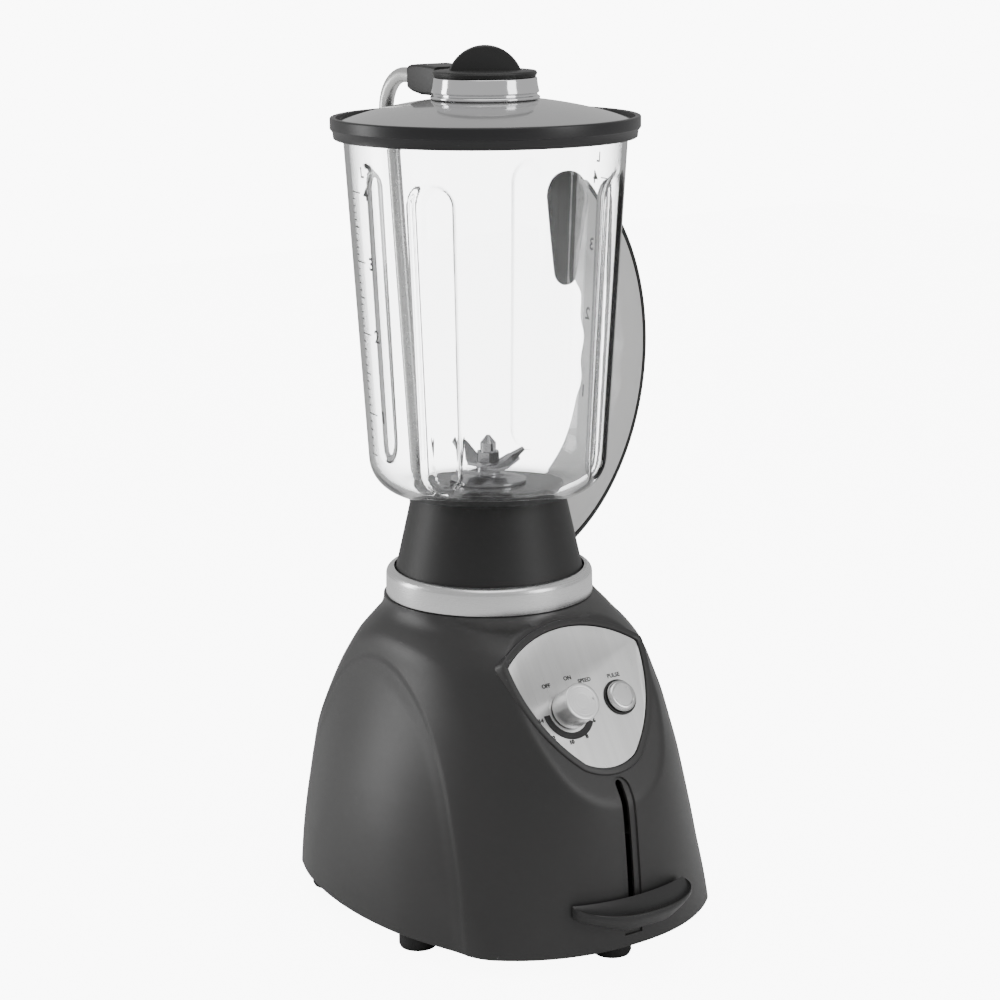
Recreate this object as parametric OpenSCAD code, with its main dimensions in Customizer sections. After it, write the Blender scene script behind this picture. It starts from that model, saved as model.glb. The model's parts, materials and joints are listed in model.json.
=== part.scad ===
/* [Base] */
// Widest part of the base across the two side panels
base_w = 230; // [200:1:260]
// Reach of the base front ahead of the jug axis
base_front = 157; // [140:1:175]
// Reach of the base rear behind the jug axis
base_rear = 124; // [110:1:135]
// Height of the neck rim that carries the metal ring
neck_top = 210; // [195:1:230]
// Diameter of the neck
neck_d = 140; // [132:1:150]
// Wall thickness of the moulded base
wall = 3.5; // [2.5:0.25:5]
// Height of the rubber feet below the shell edge
foot_h = 12; // [8:1:16]
// Diameter of the rubber feet
foot_d = 25; // [20:1:30]

/* [Control panel] */
// Lean of the control panel away from upright
panel_tilt = 34; // [28:1:40]
// Diameter of the speed knob
knob_d = 25; // [22:0.5:32]
// Height of the speed knob
knob_h = 19; // [12:0.5:22]
// Diameter of the pulse button rim
pulse_d = 21; // [16:0.5:24]
// Travel of the pulse button
pulse_travel = 1.5; // [1:0.5:3]

/* [Clamp] */
// Travel of the clamp lever along its slot
clamp_travel = 60; // [40:1:64]
// Lean of the clamp slide towards the rear
clamp_lean = 6.5; // [5:0.1:8]
// Diameter of the clamp arm rod
rod_d = 10; // [8:0.5:12]
// Width of the finger lever
lever_w = 88; // [70:1:100]

/* [Jug] */
// Outer radius of the jug at its mouth
jug_mouth_r = 91; // [85:0.5:96]
// Outer radius of the jug just above its rounded foot
jug_foot_r = 78; // [72:0.5:84]
// Height of the jug mouth above the table
jug_top = 514; // [490:1:540]
// Thickness of the jug wall
jug_wall = 3.2; // [2.5:0.1:4.5]
// Radius of the blade circle
blade_r = 34; // [26:1:40]
// Width of the jug handle
handle_w = 28; // [24:1:34]

/* [Lid] */
// Outer radius of the lid rim
lid_r = 99; // [95:0.5:104]
// Outer radius of the filler collar
filler_r = 35; // [30:0.5:38]

/* [Hidden] */
$fn = 96;
eps = 0.01;
gap = 0.3;                       // space between parts that stay or slide close together
run_fit = 0.06;                  // radial clearance of a turning shaft
press = 0.02;                    // radial clearance of a seated part
neck_r = neck_d / 2;
shell_z = foot_h;                // lower edge of the base shell
side_a = base_w / 2;
// handle plane and loop
handle_turn = 16;                // handle sits this far behind the right-hand side
loop_c = 20;
loop_z = (neck_top + jug_top) / 2 - 4;
loop_out = 138.5;
loop_in = 103.5;
handle_reach = loop_c + loop_out;
lever_front = base_front + 21;               // front lip of the finger lever ahead of the jug axis
x_high = handle_reach * cos(handle_turn) + handle_w / 2 * sin(handle_turn);
x_low = -side_a;
y_low = -lever_front;
y_high = base_rear;
// the jug axis is shifted so that the whole machine is centred on the origin
axis_x = -(x_high + x_low) / 2;
axis_y = -(y_high + y_low) / 2;

// ---- shape law of the base: height share, superellipse half-width, side panel, front, rear, exponents
h_body = neck_top - shell_z;
function st(z, a, s, f, b, nf, nr) = [(z - 12) / 198, a / 115, s / 115, f / 157, b / 124, nf, nr];
law = [
  st(12, 133, 115, 157, 124, 2.2, 2.4),
  st(32, 125, 113.8, 156.6, 122.8, 2.2, 2.6),
  st(50, 119, 111.8, 155.5, 121, 2.2, 2.8),
  st(70, 114, 108.8, 153.5, 119, 2.2, 2.9),
  st(91, 108.5, 104.6, 151, 116, 2.2, 3),
  st(105, 105, 101.4, 148.7, 113.4, 2.2, 3),
  st(118, 102, 98.3, 146, 110, 2.2, 3),
  st(135, 98, 94, 140.5, 102, 2.2, 3),
  st(153, 94.5, 89.6, 133, 94, 2.2, 2.8),
  st(165, 91.4, 86.9, 126.4, 89.6, 2.2, 2.6),
  st(176, 88.5, 84.5, 120, 84.4, 2.2, 2.4),
  st(184, 85.4, 83.2, 114.6, 80, 2.2, 2.3),
  st(190, 81.4, 82.4, 110, 76.6, 2.2, 2.2),
  st(196, 76.6, 82, 104.4, 73.4, 2.2, 2.1),
  st(201, 72.6, 82, 97.6, 71.4, 2.15, 2),
  st(205.6, 70.4, 82, 88, 70.3, 2.1, 2),
  st(208.4, 70.05, 82, 78, 70.05, 2, 2),
  st(210, 70, 82, 70, 70, 2, 2)
];
bow_r = 280;                     // bow of the side panels in plan
bow_y = -8;
function sgn(v) = v < 0 ? -1 : 1;
// radius of the base outline at one station in one direction
function se_r(t, s, i) =
  let (c = cos(t), q = sin(t), n = q < 0 ? s[5] : s[6])
  let (a = s[1] * side_a - i, b = q < 0 ? s[3] * base_front - i : s[4] * base_rear - i)
  1 / pow(pow(abs(c) / a, n) + pow(abs(q) / b, n), 1 / n);
function bow_hit(t, s, i) =
  let (c = abs(cos(t)), q = sin(t), ox = bow_r - (s[2] * side_a - i))
  let (bq = q * bow_y - c * ox, cc = ox * ox + bow_y * bow_y - bow_r * bow_r)
  bq + sqrt(bq * bq - cc);
function base_r(t, s, i) = min(se_r(t, s, i), bow_hit(t, s, i));
function station_z(s) = shell_z + s[0] * h_body;

module skin(levels, z_add, inset, n) {
  m = len(levels);
  pts = [for (k = [0:m - 1], j = [0:n - 1])
    let (t = 360 * j / n, r = base_r(t, levels[k], inset))
    [r * cos(t), r * sin(t), station_z(levels[k]) + z_add[k]]];
  low = [[for (j = [0:n - 1]) j]];
  high = [[for (j = [0:n - 1]) m * n - 1 - j]];
  sides = [for (k = [0:m - 2], j = [0:n - 1], h = [0, 1])
    let (a = k * n + j, b = k * n + (j + 1) % n)
    h == 0 ? [a, a + n, b] : [b, a + n, b + n]];
  polyhedron(points = pts, faces = concat(low, sides, high), convexity = 6);
}

// ---- panel plane
panel_y = -93;
panel_z = 187.5 * neck_top / 210;
knob_x = -18.6;
knob_s = 34.7;
pulse_x = 23;
pulse_s = 33.3;
plate_t = 1.6;
module on_panel() {
  translate([0, panel_y, panel_z])
    rotate([90 - panel_tilt, 0, 0])
      children();
}
module below_panel(d) {
  on_panel()
    translate([-200, -300, d - 400])
      cube([400, 600, 400]);
}
module shield(g) {
  intersection() {
    translate([0, -60.3])
      circle(r = 79.3 + g);
    translate([-55, 5])
      circle(r = 105.9 + g);
    translate([55, 5])
      circle(r = 105.9 + g);
    union() {
      translate([0, -40])
        circle(r = 36 + g);
      translate([-80, -53])
        square([160, 100]);
    }
  }
}

// ---- clamp geometry
rod_r = rod_d / 2;
rod_y0 = base_rear - 38;
rod_z0 = 249;
lean_t = tan(clamp_lean);
function rod_y(z) = rod_y0 + (z - rod_z0) * lean_t;
module along_rod(z) {
  translate([0, rod_y(z), z])
    rotate([-clamp_lean, 0, 0])
      children();
}
module along_rail(x, z) {
  translate([x, -20 + (z - 36) * lean_t, z])
    rotate([-clamp_lean, 0, 0])
      children();
}
bend_r = 24;
bend_lap = 0.5;
arm_in = 42;                     // straight length of the arm past its bend
arm_z = jug_top + 29.5;
bend_cz = arm_z - bend_r;
bend_start = bend_cz - bend_r * sin(clamp_lean);
bend_cy = rod_y(bend_start) - bend_r * cos(clamp_lean);
yoke_z = 30;
yoke_h = 12;
yoke_x = 58;
yoke_w = 12;
yoke_front = -base_front + 33;
yoke_rear = base_rear - 56;
rail_r = 4;
bush_r = rod_r + 4;
rod_low = 24;
lever_low = 29;
lever_top = 47;
lever_root = base_front - 7;                // where the lever ends meet the base, ahead of the jug axis
stem_reach = base_front + 9.8;    // front end of the stem inside the lever
stem_z = 32;
stem_h = 7;
slot_w = 5;
channel_w = 14;
channel_lean = 6.93;
slot_low = 27;
slot_high = 117;

// ---- drive line heights
plate_z = foot_h + 3;
plate_th = 3;
deck_z = neck_top - 24;
deck_t = 4;
motor_r = 47;
shaft_r = 5;
post_r = 6;
post_pcd = 59;
inlet_x = -45;
board_y = base_rear - 32;
inlet_z = 36;

// ---- ring and jug seat
ring_z = neck_top;
ring_h = 18.5;
ring_r = neck_r - 1.6;
seat_r = 62.6;
seat_z = ring_z + 12;
cone_r1 = 62;
cone_z1 = seat_z + gap;
cone_r2 = 49.6;
cone_z2 = cone_z1 + 57.7;
jug_floor = cone_z2 + 3;
jug_z1 = jug_floor + 19;

module shifted() {
  translate([axis_x, axis_y, 0])
    children();
}
module ring_of(r1, r2, h) {
  difference() {
    cylinder(r = r2, h = h);
    translate([0, 0, -1])
      cylinder(r = r1, h = h + 2);
  }
}

// ================= base =================
foot_spots = [[0, -base_front + 23], [-side_a + 21, -52], [side_a - 21, -52], [-side_a + 31, 72],
  [side_a - 31, 72]];
screw_spots = [[-side_a + 37, -92], [side_a - 37, -92], [-side_a + 45, base_rear - 32],
  [side_a - 45, base_rear - 32]];

module base_housing() {
  n = len(law);
  inner = [law[0], law[2], law[4], law[6], law[8], law[10], law[12], law[13], law[14]];
  drop = [-2, 0, 0, 0, 0, 0, -1, -1, 0];
  color([0.24, 0.24, 0.24])
    shifted()
      difference() {
        intersection() {
          skin(law, [for (k = law) 0], 0, 96);
          below_panel(0);
        }
        intersection() {
          skin(inner, drop, wall, 48);
          below_panel(-wall);
        }
        // drive opening and lightening of the roof
        translate([0, 0, neck_top - 20])
          cylinder(r = 24, h = 40);
        // seat for the panel plate and openings for the controls
        on_panel()
          translate([0, 0, -plate_t - 0.2])
            linear_extrude(10)
              shield(gap);
        on_panel()
          translate([knob_x, -knob_s, -20])
            cylinder(r = 5.2, h = 30);
        on_panel()
          translate([pulse_x, -pulse_s, -20])
            cylinder(r = pulse_d / 2 - 1.9, h = 30);
        // lever slot and its shallow channel
        translate([-slot_w / 2, -220, slot_low])
          cube([slot_w, 140, slot_high - slot_low]);
        translate([0, -base_front + 1.1, 30])
          rotate([-channel_lean, 0, 0])
            translate([-channel_w / 2, -30, -9])
              cube([channel_w, 30, slot_high - slot_low + 8]);
        // rear rod bush
        along_rod(150)
          cylinder(r = bush_r + press, h = 70);
        // mains inlet opening
        translate([inlet_x, base_rear - 24, inlet_z])
          rotate([-90, 0, 0])
            cylinder(r = 8 + press, h = 40);
        // roof screws for the motor posts
        for (a = [45:90:315])
          rotate([0, 0, a])
            translate([post_pcd, 0, neck_top - 25])
              cylinder(r = 2.6, h = 40);
      }
}

module base_plate() {
  s = law[0];
  color([0.16, 0.16, 0.17])
    shifted()
      difference() {
        translate([0, 0, plate_z])
          linear_extrude(plate_th)
            polygon([for (j = [0:95])
              let (t = 360 * j / 96, r = base_r(t, s, wall + 3.2))
              [r * cos(t), r * sin(t)]]);
        for (p = foot_spots)
          translate([p[0], p[1], 0])
            cylinder(r = 2.2, h = 40);
        for (p = screw_spots)
          translate([p[0], p[1], 0])
            cylinder(r = 2.2, h = 40);
        for (k = [-3:3])
          translate([k * 11 - 2.5, -34, 0])
            cube([5, 68, 40]);
        for (x = [-yoke_x, yoke_x])
          translate([x, rail_foot_y, 0])
            cylinder(r = 2.2, h = 40);
      }
}
rail_foot_y = -20 + (plate_z + plate_th - 36) * lean_t;

module feet() {
  color([0.07, 0.07, 0.07])
    shifted()
      for (p = foot_spots)
        translate([p[0], p[1], 0])
          difference() {
            union() {
              cylinder(r1 = foot_d / 2 - 1, r2 = foot_d / 2, h = 2);
              translate([0, 0, 2])
                cylinder(r = foot_d / 2, h = plate_z - 2 - 0.02);
            }
            translate([0, 0, -1])
              cylinder(r = 5.2, h = 7);
            cylinder(r = 2.2, h = 40);
          }
}

module foot_screws() {
  color([0.72, 0.72, 0.7])
    shifted()
      for (p = foot_spots)
        translate([p[0], p[1], 3]) {
          difference() {
            cylinder(r = 4.4, h = 2.95);
            translate([0, 0, -1])
              cylinder(r = 2, h = 2.6, $fn = 6);
          }
          cylinder(r = 2, h = 20);
        }
}

module plate_screws() {
  color([0.72, 0.72, 0.7])
    shifted()
      for (p = screw_spots)
        translate([p[0], p[1], plate_z - 3]) {
          difference() {
            cylinder(r = 4, h = 2.95);
            translate([0, 0, -1])
              cylinder(r = 1.8, h = 2.6, $fn = 6);
          }
          cylinder(r = 2, h = 16);
        }
}

module inner_posts() {
  color([0.22, 0.22, 0.22])
    shifted()
      union() {
        for (p = screw_spots)
          translate([p[0], p[1], plate_z + plate_th + 0.02])
            ring_of(2 + press, 5.5, 20);
        for (a = [45:90:315])
          rotate([0, 0, a])
            translate([post_pcd, 0, deck_z + deck_t + 0.05])
              ring_of(2.1, post_r, 9.5);
      }
}

module collar_ring() {
  color([0.8, 0.8, 0.8])
    shifted()
      translate([0, 0, ring_z + 0.02])
        rotate_extrude()
          polygon(concat(
            [[26, 0], [ring_r, 0], [ring_r + 0.2, 1.2], [ring_r - 0.2, ring_h - 7]],
            [for (a = [10:10:90]) [ring_r - 5.2 + 5 * cos(a), ring_h - 5 + 5 * sin(a)]],
            [[seat_r, ring_h], [seat_r, seat_z - ring_z], [48, seat_z - ring_z]],
            [[48, 5], [26, 5]]));
}

module seat_pad() {
  color([0.1, 0.1, 0.1])
    shifted()
      translate([0, 0, ring_z + 5.04])
        ring_of(30, 47.6, 3);
}

// ================= panel =================
module panel_plate() {
  color([0.83, 0.83, 0.82])
    shifted()
      on_panel()
        translate([0, 0, -plate_t])
          difference() {
            linear_extrude(plate_t)
              shield(0);
            translate([knob_x, -knob_s, -1])
              cylinder(r = 4.2, h = 6);
            translate([pulse_x, -pulse_s, -1])
              cylinder(r = pulse_d / 2 - 2.1, h = 6);
          }
}

module dial_scale() {
  color([0.08, 0.08, 0.08])
    shifted()
      on_panel()
        translate([knob_x, -knob_s, 0.02])
          difference() {
            ring_of(knob_d / 2 + 1.6, knob_d / 2 + 6.2, 0.35);
            translate([-30, 0, -1])
              cube([60, 30, 3]);
            rotate([0, 0, -33])
              translate([0, 0, -1])
                cube([40, 40, 3]);
          }
}

module speed_knob() {
  color([0.75, 0.75, 0.75])
    shifted()
      on_panel()
        translate([knob_x, -knob_s, 0.7])
          difference() {
            rotate_extrude()
              polygon([[0, 0], [knob_d / 2 - 0.8, 0], [knob_d / 2 - 0.8, 1.4], [knob_d / 2, 1.8],
                [knob_d / 2 - 0.5, knob_h - 1], [knob_d / 2 - 1.3, knob_h - 0.2], [0, knob_h - 0.2]]);
            translate([0, 0, -1])
              cylinder(r = 3 + press, h = knob_h - 4);
            translate([knob_d / 2 - 5.3, 0, knob_h - 0.9])
              cylinder(r = 1.3, h = 3);
          }
}

module speed_pot() {
  color([0.35, 0.36, 0.38])
    shifted()
      on_panel()
        translate([knob_x, -knob_s, 0])
          difference() {
            union() {
              translate([0, 0, -22])
                cylinder(r = 12, h = 22 - wall - plate_t - 3);
              translate([0, 0, -14])
                cylinder(r = 4, h = 13.9);
            }
            translate([0, 0, -15])
              cylinder(r = 3 + run_fit, h = 30);
          }
}

module knob_shaft() {
  color([0.8, 0.75, 0.5])
    shifted()
      on_panel()
        translate([knob_x, -knob_s, -14.7])
          cylinder(r = 3, h = 14.7 + knob_h - 5);
}

module pulse_bezel() {
  color([0.05, 0.05, 0.05])
    shifted()
      on_panel()
        translate([pulse_x, -pulse_s, 0])
          difference() {
            union() {
              translate([0, 0, 0.02])
                cylinder(r = pulse_d / 2 + 1.3, h = 1);
              translate([0, 0, -18])
                cylinder(r = pulse_d / 2 - 2.5, h = 18.1);
            }
            translate([0, 0, 0.2])
              cylinder(r = pulse_d / 2 + 0.1, h = 5);
            translate([0, 0, -19])
              cylinder(r = pulse_d / 2 - 3.9, h = 30);
          }
}

module pulse_button() {
  color([0.78, 0.78, 0.78])
    shifted()
      on_panel()
        translate([pulse_x, -pulse_s, 0])
          union() {
            translate([0, 0, 0.5 + pulse_travel])
              rotate_extrude()
                polygon([[0, 0], [pulse_d / 2 - 0.2, 0], [pulse_d / 2 - 0.2, 0.6], [pulse_d / 2 - 2.2, 2.6],
                  [pulse_d / 2 - 3.2, 3], [pulse_d / 2 - 3.5, 2.5], [0, 2.5]]);
            translate([0, 0, -8])
              cylinder(r = pulse_d / 2 - 4.1, h = 9 + pulse_travel);
          }
}

module pulse_switch() {
  color([0.12, 0.12, 0.13])
    shifted()
      on_panel()
        translate([pulse_x, -pulse_s, -34])
          union() {
            translate([-8, -8, 0])
              cube([16, 16, 15.9]);
            for (x = [-4, 4])
              translate([x - 0.4, -3, -6])
                cube([0.8, 6, 7]);
          }
}

module pulse_spring() {
  coils = 4;
  color([0.7, 0.7, 0.7])
    shifted()
      on_panel()
        translate([pulse_x, -pulse_s, -17.6])
          for (k = [0:coils - 1])
            translate([0, 0, k * 2])
              rotate_extrude()
                translate([pulse_d / 2 - 5.9, 0])
                  circle(r = 0.5, $fn = 16);
}

// ================= clamp =================
function lever_lip(x) =
  lever_root + (lever_front - lever_root) * pow(1 - pow(abs(x) / (lever_w / 2), 2.5), 1 / 2.5);
module clamp_lever() {
  rear_r = 128;
  half = lever_w / 2;
  color([0.17, 0.17, 0.17])
    shifted()
      difference() {
        translate([0, 0, lever_low])
          linear_extrude(lever_top - lever_low)
            difference() {
              polygon(concat([for (k = [0:40]) let (x = -half * cos(k * 4.5)) [x, -lever_lip(x)]],
                [[half, -100], [-half, -100]]));
              translate([0, -base_front - 1.6 + rear_r])
                circle(r = rear_r);
            }
        // top sloping down towards the lip
        translate([0, -base_front - 1.6, lever_top])
          rotate([14.5, 0, 0])
            translate([-60, -60, 0])
              cube([120, 60, 20]);
        // underside rising towards the two ends
        for (m = [0, 1])
          mirror([m, 0, 0])
            translate([0, -100, 0])
              rotate([90, 0, 0])
                linear_extrude(100)
                  polygon([[16, lever_low - 1], [16, lever_low], [half + 1, lever_low + 9],
                    [half + 1, lever_low - 1]]);
        // hollowed underside front
        translate([0, -lever_front - 2, lever_low - 5])
          rotate([0, 90, 0])
            translate([0, 0, -60])
              cylinder(r = 9, h = 120);
        // socket for the stem
        translate([-2.1, -stem_reach - 0.2, stem_z - 0.1])
          cube([4.2, 30, stem_h + 0.2]);
      }
}

module lever_stem() {
  color([0.6, 0.6, 0.6])
    shifted()
      difference() {
        translate([-2, -stem_reach, stem_z])
          cube([4, stem_reach + yoke_front - 0.1, stem_h]);
        translate([-3, -stem_reach + 4.8, stem_z + stem_h / 2])
          rotate([0, 90, 0])
            cylinder(r = 1.2, h = 8);
      }
}

module clamp_yoke() {
  color([0.5, 0.5, 0.52])
    shifted()
      difference() {
        union() {
          for (x = [-yoke_x, yoke_x])
            translate([x - yoke_w / 2, yoke_front, yoke_z])
              cube([yoke_w, yoke_rear - yoke_front, yoke_h]);
          translate([-yoke_x - yoke_w / 2, yoke_front, yoke_z])
            cube([2 * yoke_x + yoke_w, 10, yoke_h]);
          translate([-yoke_x - yoke_w / 2, yoke_rear - 14, yoke_z])
            cube([2 * yoke_x + yoke_w, 14, yoke_h]);
        }
        for (x = [-yoke_x, yoke_x])
          along_rail(x, yoke_z + yoke_h / 2)
            translate([0, 0, -20])
              cylinder(r = rail_r + run_fit, h = 40);
        along_rod(yoke_z + yoke_h / 2)
          translate([0, 0, -20])
            cylinder(r = rod_r + run_fit, h = 40);
      }
}

module clamp_rails() {
  z1 = plate_z + plate_th + 1.2;
  color([0.75, 0.75, 0.76])
    shifted()
      for (x = [-yoke_x, yoke_x])
        along_rail(x, z1)
          cylinder(r = rail_r, h = (deck_z - 1.2 - z1) / cos(clamp_lean));
}

module rail_screws() {
  color([0.72, 0.72, 0.7])
    shifted()
      for (x = [-yoke_x, yoke_x])
        translate([x, rail_foot_y, plate_z - 2.6]) {
          cylinder(r = 3.8, h = 2.55);
          cylinder(r = 2, h = 6);
        }
}

module clamp_arm() {
  l1 = (bend_start - rod_low) / cos(clamp_lean);
  color([0.78, 0.78, 0.77])
    shifted()
      union() {
        along_rod(rod_low)
          cylinder(r = rod_r, h = l1 + bend_lap);
        along_rod(yoke_z + yoke_h)
          translate([0, 0, 1.3])
            cylinder(r = rod_r + 3, h = 3);
        translate([0, bend_cy, bend_cz])
          rotate([90, 0, 90])
            rotate([0, 0, -clamp_lean])
              rotate_extrude(angle = 90 + clamp_lean)
                translate([bend_r, 0])
                  circle(r = rod_r + 0.05);
        translate([0, bend_cy + bend_lap, arm_z])
          rotate([90, 0, 0])
            cylinder(r = rod_r, h = arm_in + bend_lap);
      }
}

module rod_clip() {
  color([0.3, 0.3, 0.3])
    shifted()
      along_rod(yoke_z - 0.8)
        translate([0, 0, -2.2])
          ring_of(rod_r + press, rod_r + 3, 1.4);
}

module rod_bush() {
  color([0.13, 0.13, 0.13])
    shifted()
      difference() {
        union() {
          along_rod(166)
            cylinder(r = bush_r - 0.03, h = 24);
          along_rod(189)
            cylinder(r = bush_r - 1, h = 4);
        }
        along_rod(150)
          cylinder(r = rod_r + run_fit, h = 70);
      }
}

head_reach = rod_y(arm_z) - filler_r - 0.6;
head_w = 27;
head_len = 36;
module arm_head() {
  hy = rod_y(arm_z);
  y_end = hy - head_reach;
  color([0.13, 0.13, 0.13])
    shifted()
      difference() {
        intersection() {
          translate([-head_w / 2, 0, 0])
            rotate([90, 0, 90])
              linear_extrude(head_w)
                polygon([[y_end - 1, arm_z - 10.7], [y_end + 20, arm_z - 10.7], [y_end + 30, arm_z - 9.1],
                  [y_end + head_len, arm_z - 6.9], [y_end + head_len, arm_z + 6.9],
                  [y_end + head_len - 4, arm_z + 8.2], [y_end + 24, arm_z + 8.9], [y_end - 1, arm_z + 7.9]]);
          translate([0, hy, arm_z - 40])
            linear_extrude(80)
              intersection() {
                circle(r = head_reach);
                translate([-head_w / 2, -head_reach])
                  square([head_w, head_reach]);
              }
        }
        translate([0, bend_cy + 10, arm_z])
          rotate([90, 0, 0])
            cylinder(r = rod_r + press, h = arm_in + 10.1);
      }
}

// ================= motor =================
module motor_deck() {
  color([0.55, 0.56, 0.58])
    shifted()
      difference() {
        translate([0, 0, deck_z])
          cylinder(r = 66, h = deck_t);
        translate([0, 0, deck_z - 1])
          cylinder(r = 14, h = 10);
        for (a = [45:90:315])
          rotate([0, 0, a])
            translate([post_pcd, 0, deck_z - 1])
              cylinder(r = 2.2, h = 10);
        translate([-20, 62, deck_z - 1])
          cube([40, 20, 10]);
      }
}

module motor_bolts() {
  color([0.72, 0.72, 0.7])
    shifted()
      for (a = [0:90:270])
        rotate([0, 0, a])
          translate([40, 0, 56])
            cylinder(r = 2, h = deck_z - 56 - 0.1);
}

module motor_brackets() {
  color([0.62, 0.63, 0.65])
    shifted()
      for (z = [60, 160])
        translate([0, 0, z])
          difference() {
            union() {
              cylinder(r = 14, h = 10);
              for (a = [0, 90])
                rotate([0, 0, a])
                  translate([-46, -8, 2])
                    cube([92, 16, 6]);
            }
            translate([0, 0, -1])
              cylinder(r = 10, h = 20);
            for (a = [0:90:270])
              rotate([0, 0, a])
                translate([40, 0, -1])
                  cylinder(r = 2.1, h = 20);
          }
}

module motor_bearings() {
  color([0.7, 0.7, 0.72])
    shifted()
      for (z = [61, 161])
        translate([0, 0, z])
          ring_of(shaft_r + run_fit, 10 - press, 8);
}

module motor_stator() {
  color([0.45, 0.46, 0.48])
    shifted()
      translate([0, 0, 84])
        difference() {
          cylinder(r = motor_r, h = 50);
          translate([0, 0, -1])
            cylinder(r = 29, h = 60);
          for (a = [0:90:270])
            rotate([0, 0, a])
              translate([40, 0, -1])
                cylinder(r = 2.2, h = 60);
        }
}

module motor_windings() {
  color([0.72, 0.4, 0.2])
    shifted()
      for (z = [75.8, 134.2])
        translate([0, 0, z])
          ring_of(29.5, 36.5, 8);
}

module motor_armature() {
  color([0.4, 0.4, 0.42])
    shifted()
      translate([0, 0, 80])
        difference() {
          cylinder(r = 27.5, h = 58);
          for (a = [0:30:330])
            rotate([0, 0, a])
              translate([21.5, -1.2, -1])
                cube([10, 2.4, 60]);
          translate([0, 0, -1])
            cylinder(r = shaft_r + press, h = 70);
        }
}

module motor_shaft() {
  color([0.8, 0.8, 0.82])
    shifted()
      translate([0, 0, 52])
        cylinder(r = shaft_r, h = neck_top + 10 - 52);
}

module motor_fan() {
  color([0.15, 0.15, 0.16])
    shifted()
      translate([0, 0, 146]) {
        difference() {
          cylinder(r = 11, h = 10);
          translate([0, 0, -1])
            cylinder(r = shaft_r + press, h = 20);
        }
        difference() {
          union() {
            difference() {
              cylinder(r = 36, h = 1.6);
              translate([0, 0, -1])
                cylinder(r = 10, h = 5);
            }
            for (a = [0:36:324])
              rotate([0, 0, a])
                translate([12, 0, 0])
                  rotate([0, 0, 24])
                    translate([0, -0.8, 0])
                      cube([22, 1.6, 9]);
          }
          translate([0, 0, -1])
            cylinder(r = 10.5, h = 20);
        }
      }
}

module drive_coupling() {
  color([0.62, 0.62, 0.64])
    shifted()
      translate([0, 0, neck_top + 2]) {
        difference() {
          union() {
            cylinder(r = 17, h = 8);
            translate([0, 0, 7.9])
              linear_extrude(10)
                union() {
                  circle(r = 8);
                  for (a = [0:60:300])
                    rotate([0, 0, a])
                      translate([0, -2])
                        square([12, 4]);
                }
          }
          translate([0, 0, -1])
            cylinder(r = shaft_r + press, h = 9.1);
        }
      }
}

module control_board() {
  color([0.12, 0.35, 0.2])
    shifted()
      translate([-48, board_y, 60])
        cube([96, 1.6, 44]);
}

module board_parts() {
  color([0.2, 0.2, 0.22])
    shifted()
      union() {
        translate([-40, board_y - 12, 66])
          cube([26, 11.9, 20]);
        translate([-8, board_y - 10, 64])
          cube([14, 9.9, 30]);
        translate([24, board_y - 0.1, 76])
          rotate([90, 0, 0])
            cylinder(r = 9, h = 12);
      }
}

module safety_switch() {
  color([0.1, 0.1, 0.1])
    shifted()
      translate([14, base_rear - 50, plate_z + plate_th + 0.05])
        union() {
          cube([18, 12, 22]);
          translate([2, 3, 22])
            cube([3, 6, 2]);
        }
}

module mains_inlet() {
  color([0.06, 0.06, 0.06])
    shifted()
      translate([inlet_x, base_rear - 28, inlet_z])
        rotate([-90, 0, 0])
          difference() {
            union() {
              cylinder(r = 8 - 0.03, h = 24);
              cylinder(r = 11, h = 8);
            }
            translate([0, 0, -1])
              cylinder(r = 4, h = 40);
          }
}

// ================= jug =================
taper = (jug_mouth_r - jug_foot_r) / (jug_top - jug_z1);
taper_a = atan(taper);
flute_at = [33.5, 123.5, 213.5, 303.5];
flute_z1 = jug_z1 + 3;
flute_z2 = jug_top - 44;
function wall_r(z) = jug_foot_r + (z - jug_z1) * taper;
module jug_profile(o, above) {
  polygon(concat(
    [[0, jug_floor - 4 + o]],
    [[jug_foot_r - 24 - o, jug_floor - 4 + o]],
    [for (a = [-80:10:0]) [jug_foot_r - 24 + (24 - o) * cos(a), jug_z1 + 1 + (24 - o) * sin(a)]],
    [[jug_mouth_r - o + taper * above, jug_top + above], [0, jug_top + above]]));
}
module flute(g) {
  r1 = 5.8 + g;
  r2 = 28 + g;
  z1 = flute_z1 + 7;
  z2 = flute_z2 - 7;
  x1 = wall_r(z1) + 0.3;
  x2 = wall_r(z2) + 23;
  ln = sqrt(pow(x2 - x1, 2) + pow(z2 - z1, 2));
  translate([x1, 0, z1])
    rotate([0, atan((x2 - x1) / (z2 - z1)), 0])
      rotate_extrude()
        polygon([[0, -14 - g], [1, -14 - g], [r1, -0.3 * g], [r2, ln + 0.3 * g], [3, ln + 30 + g],
          [0, ln + 30 + g]]);
}

module jug() {
  color([0.85, 0.9, 0.92, 0.35])
    shifted()
      difference() {
        union() {
          difference() {
            rotate_extrude()
              jug_profile(0, 0);
            rotate_extrude()
              jug_profile(jug_wall, 2);
          }
          intersection() {
            rotate_extrude()
              jug_profile(0.5, 0);
            for (a = flute_at)
              rotate([0, 0, a])
                flute(jug_wall);
          }
        }
        for (a = flute_at)
          rotate([0, 0, a])
            flute(0);
        translate([0, 0, jug_floor - 10])
          cylinder(r = 12, h = 20);
      }
}

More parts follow.
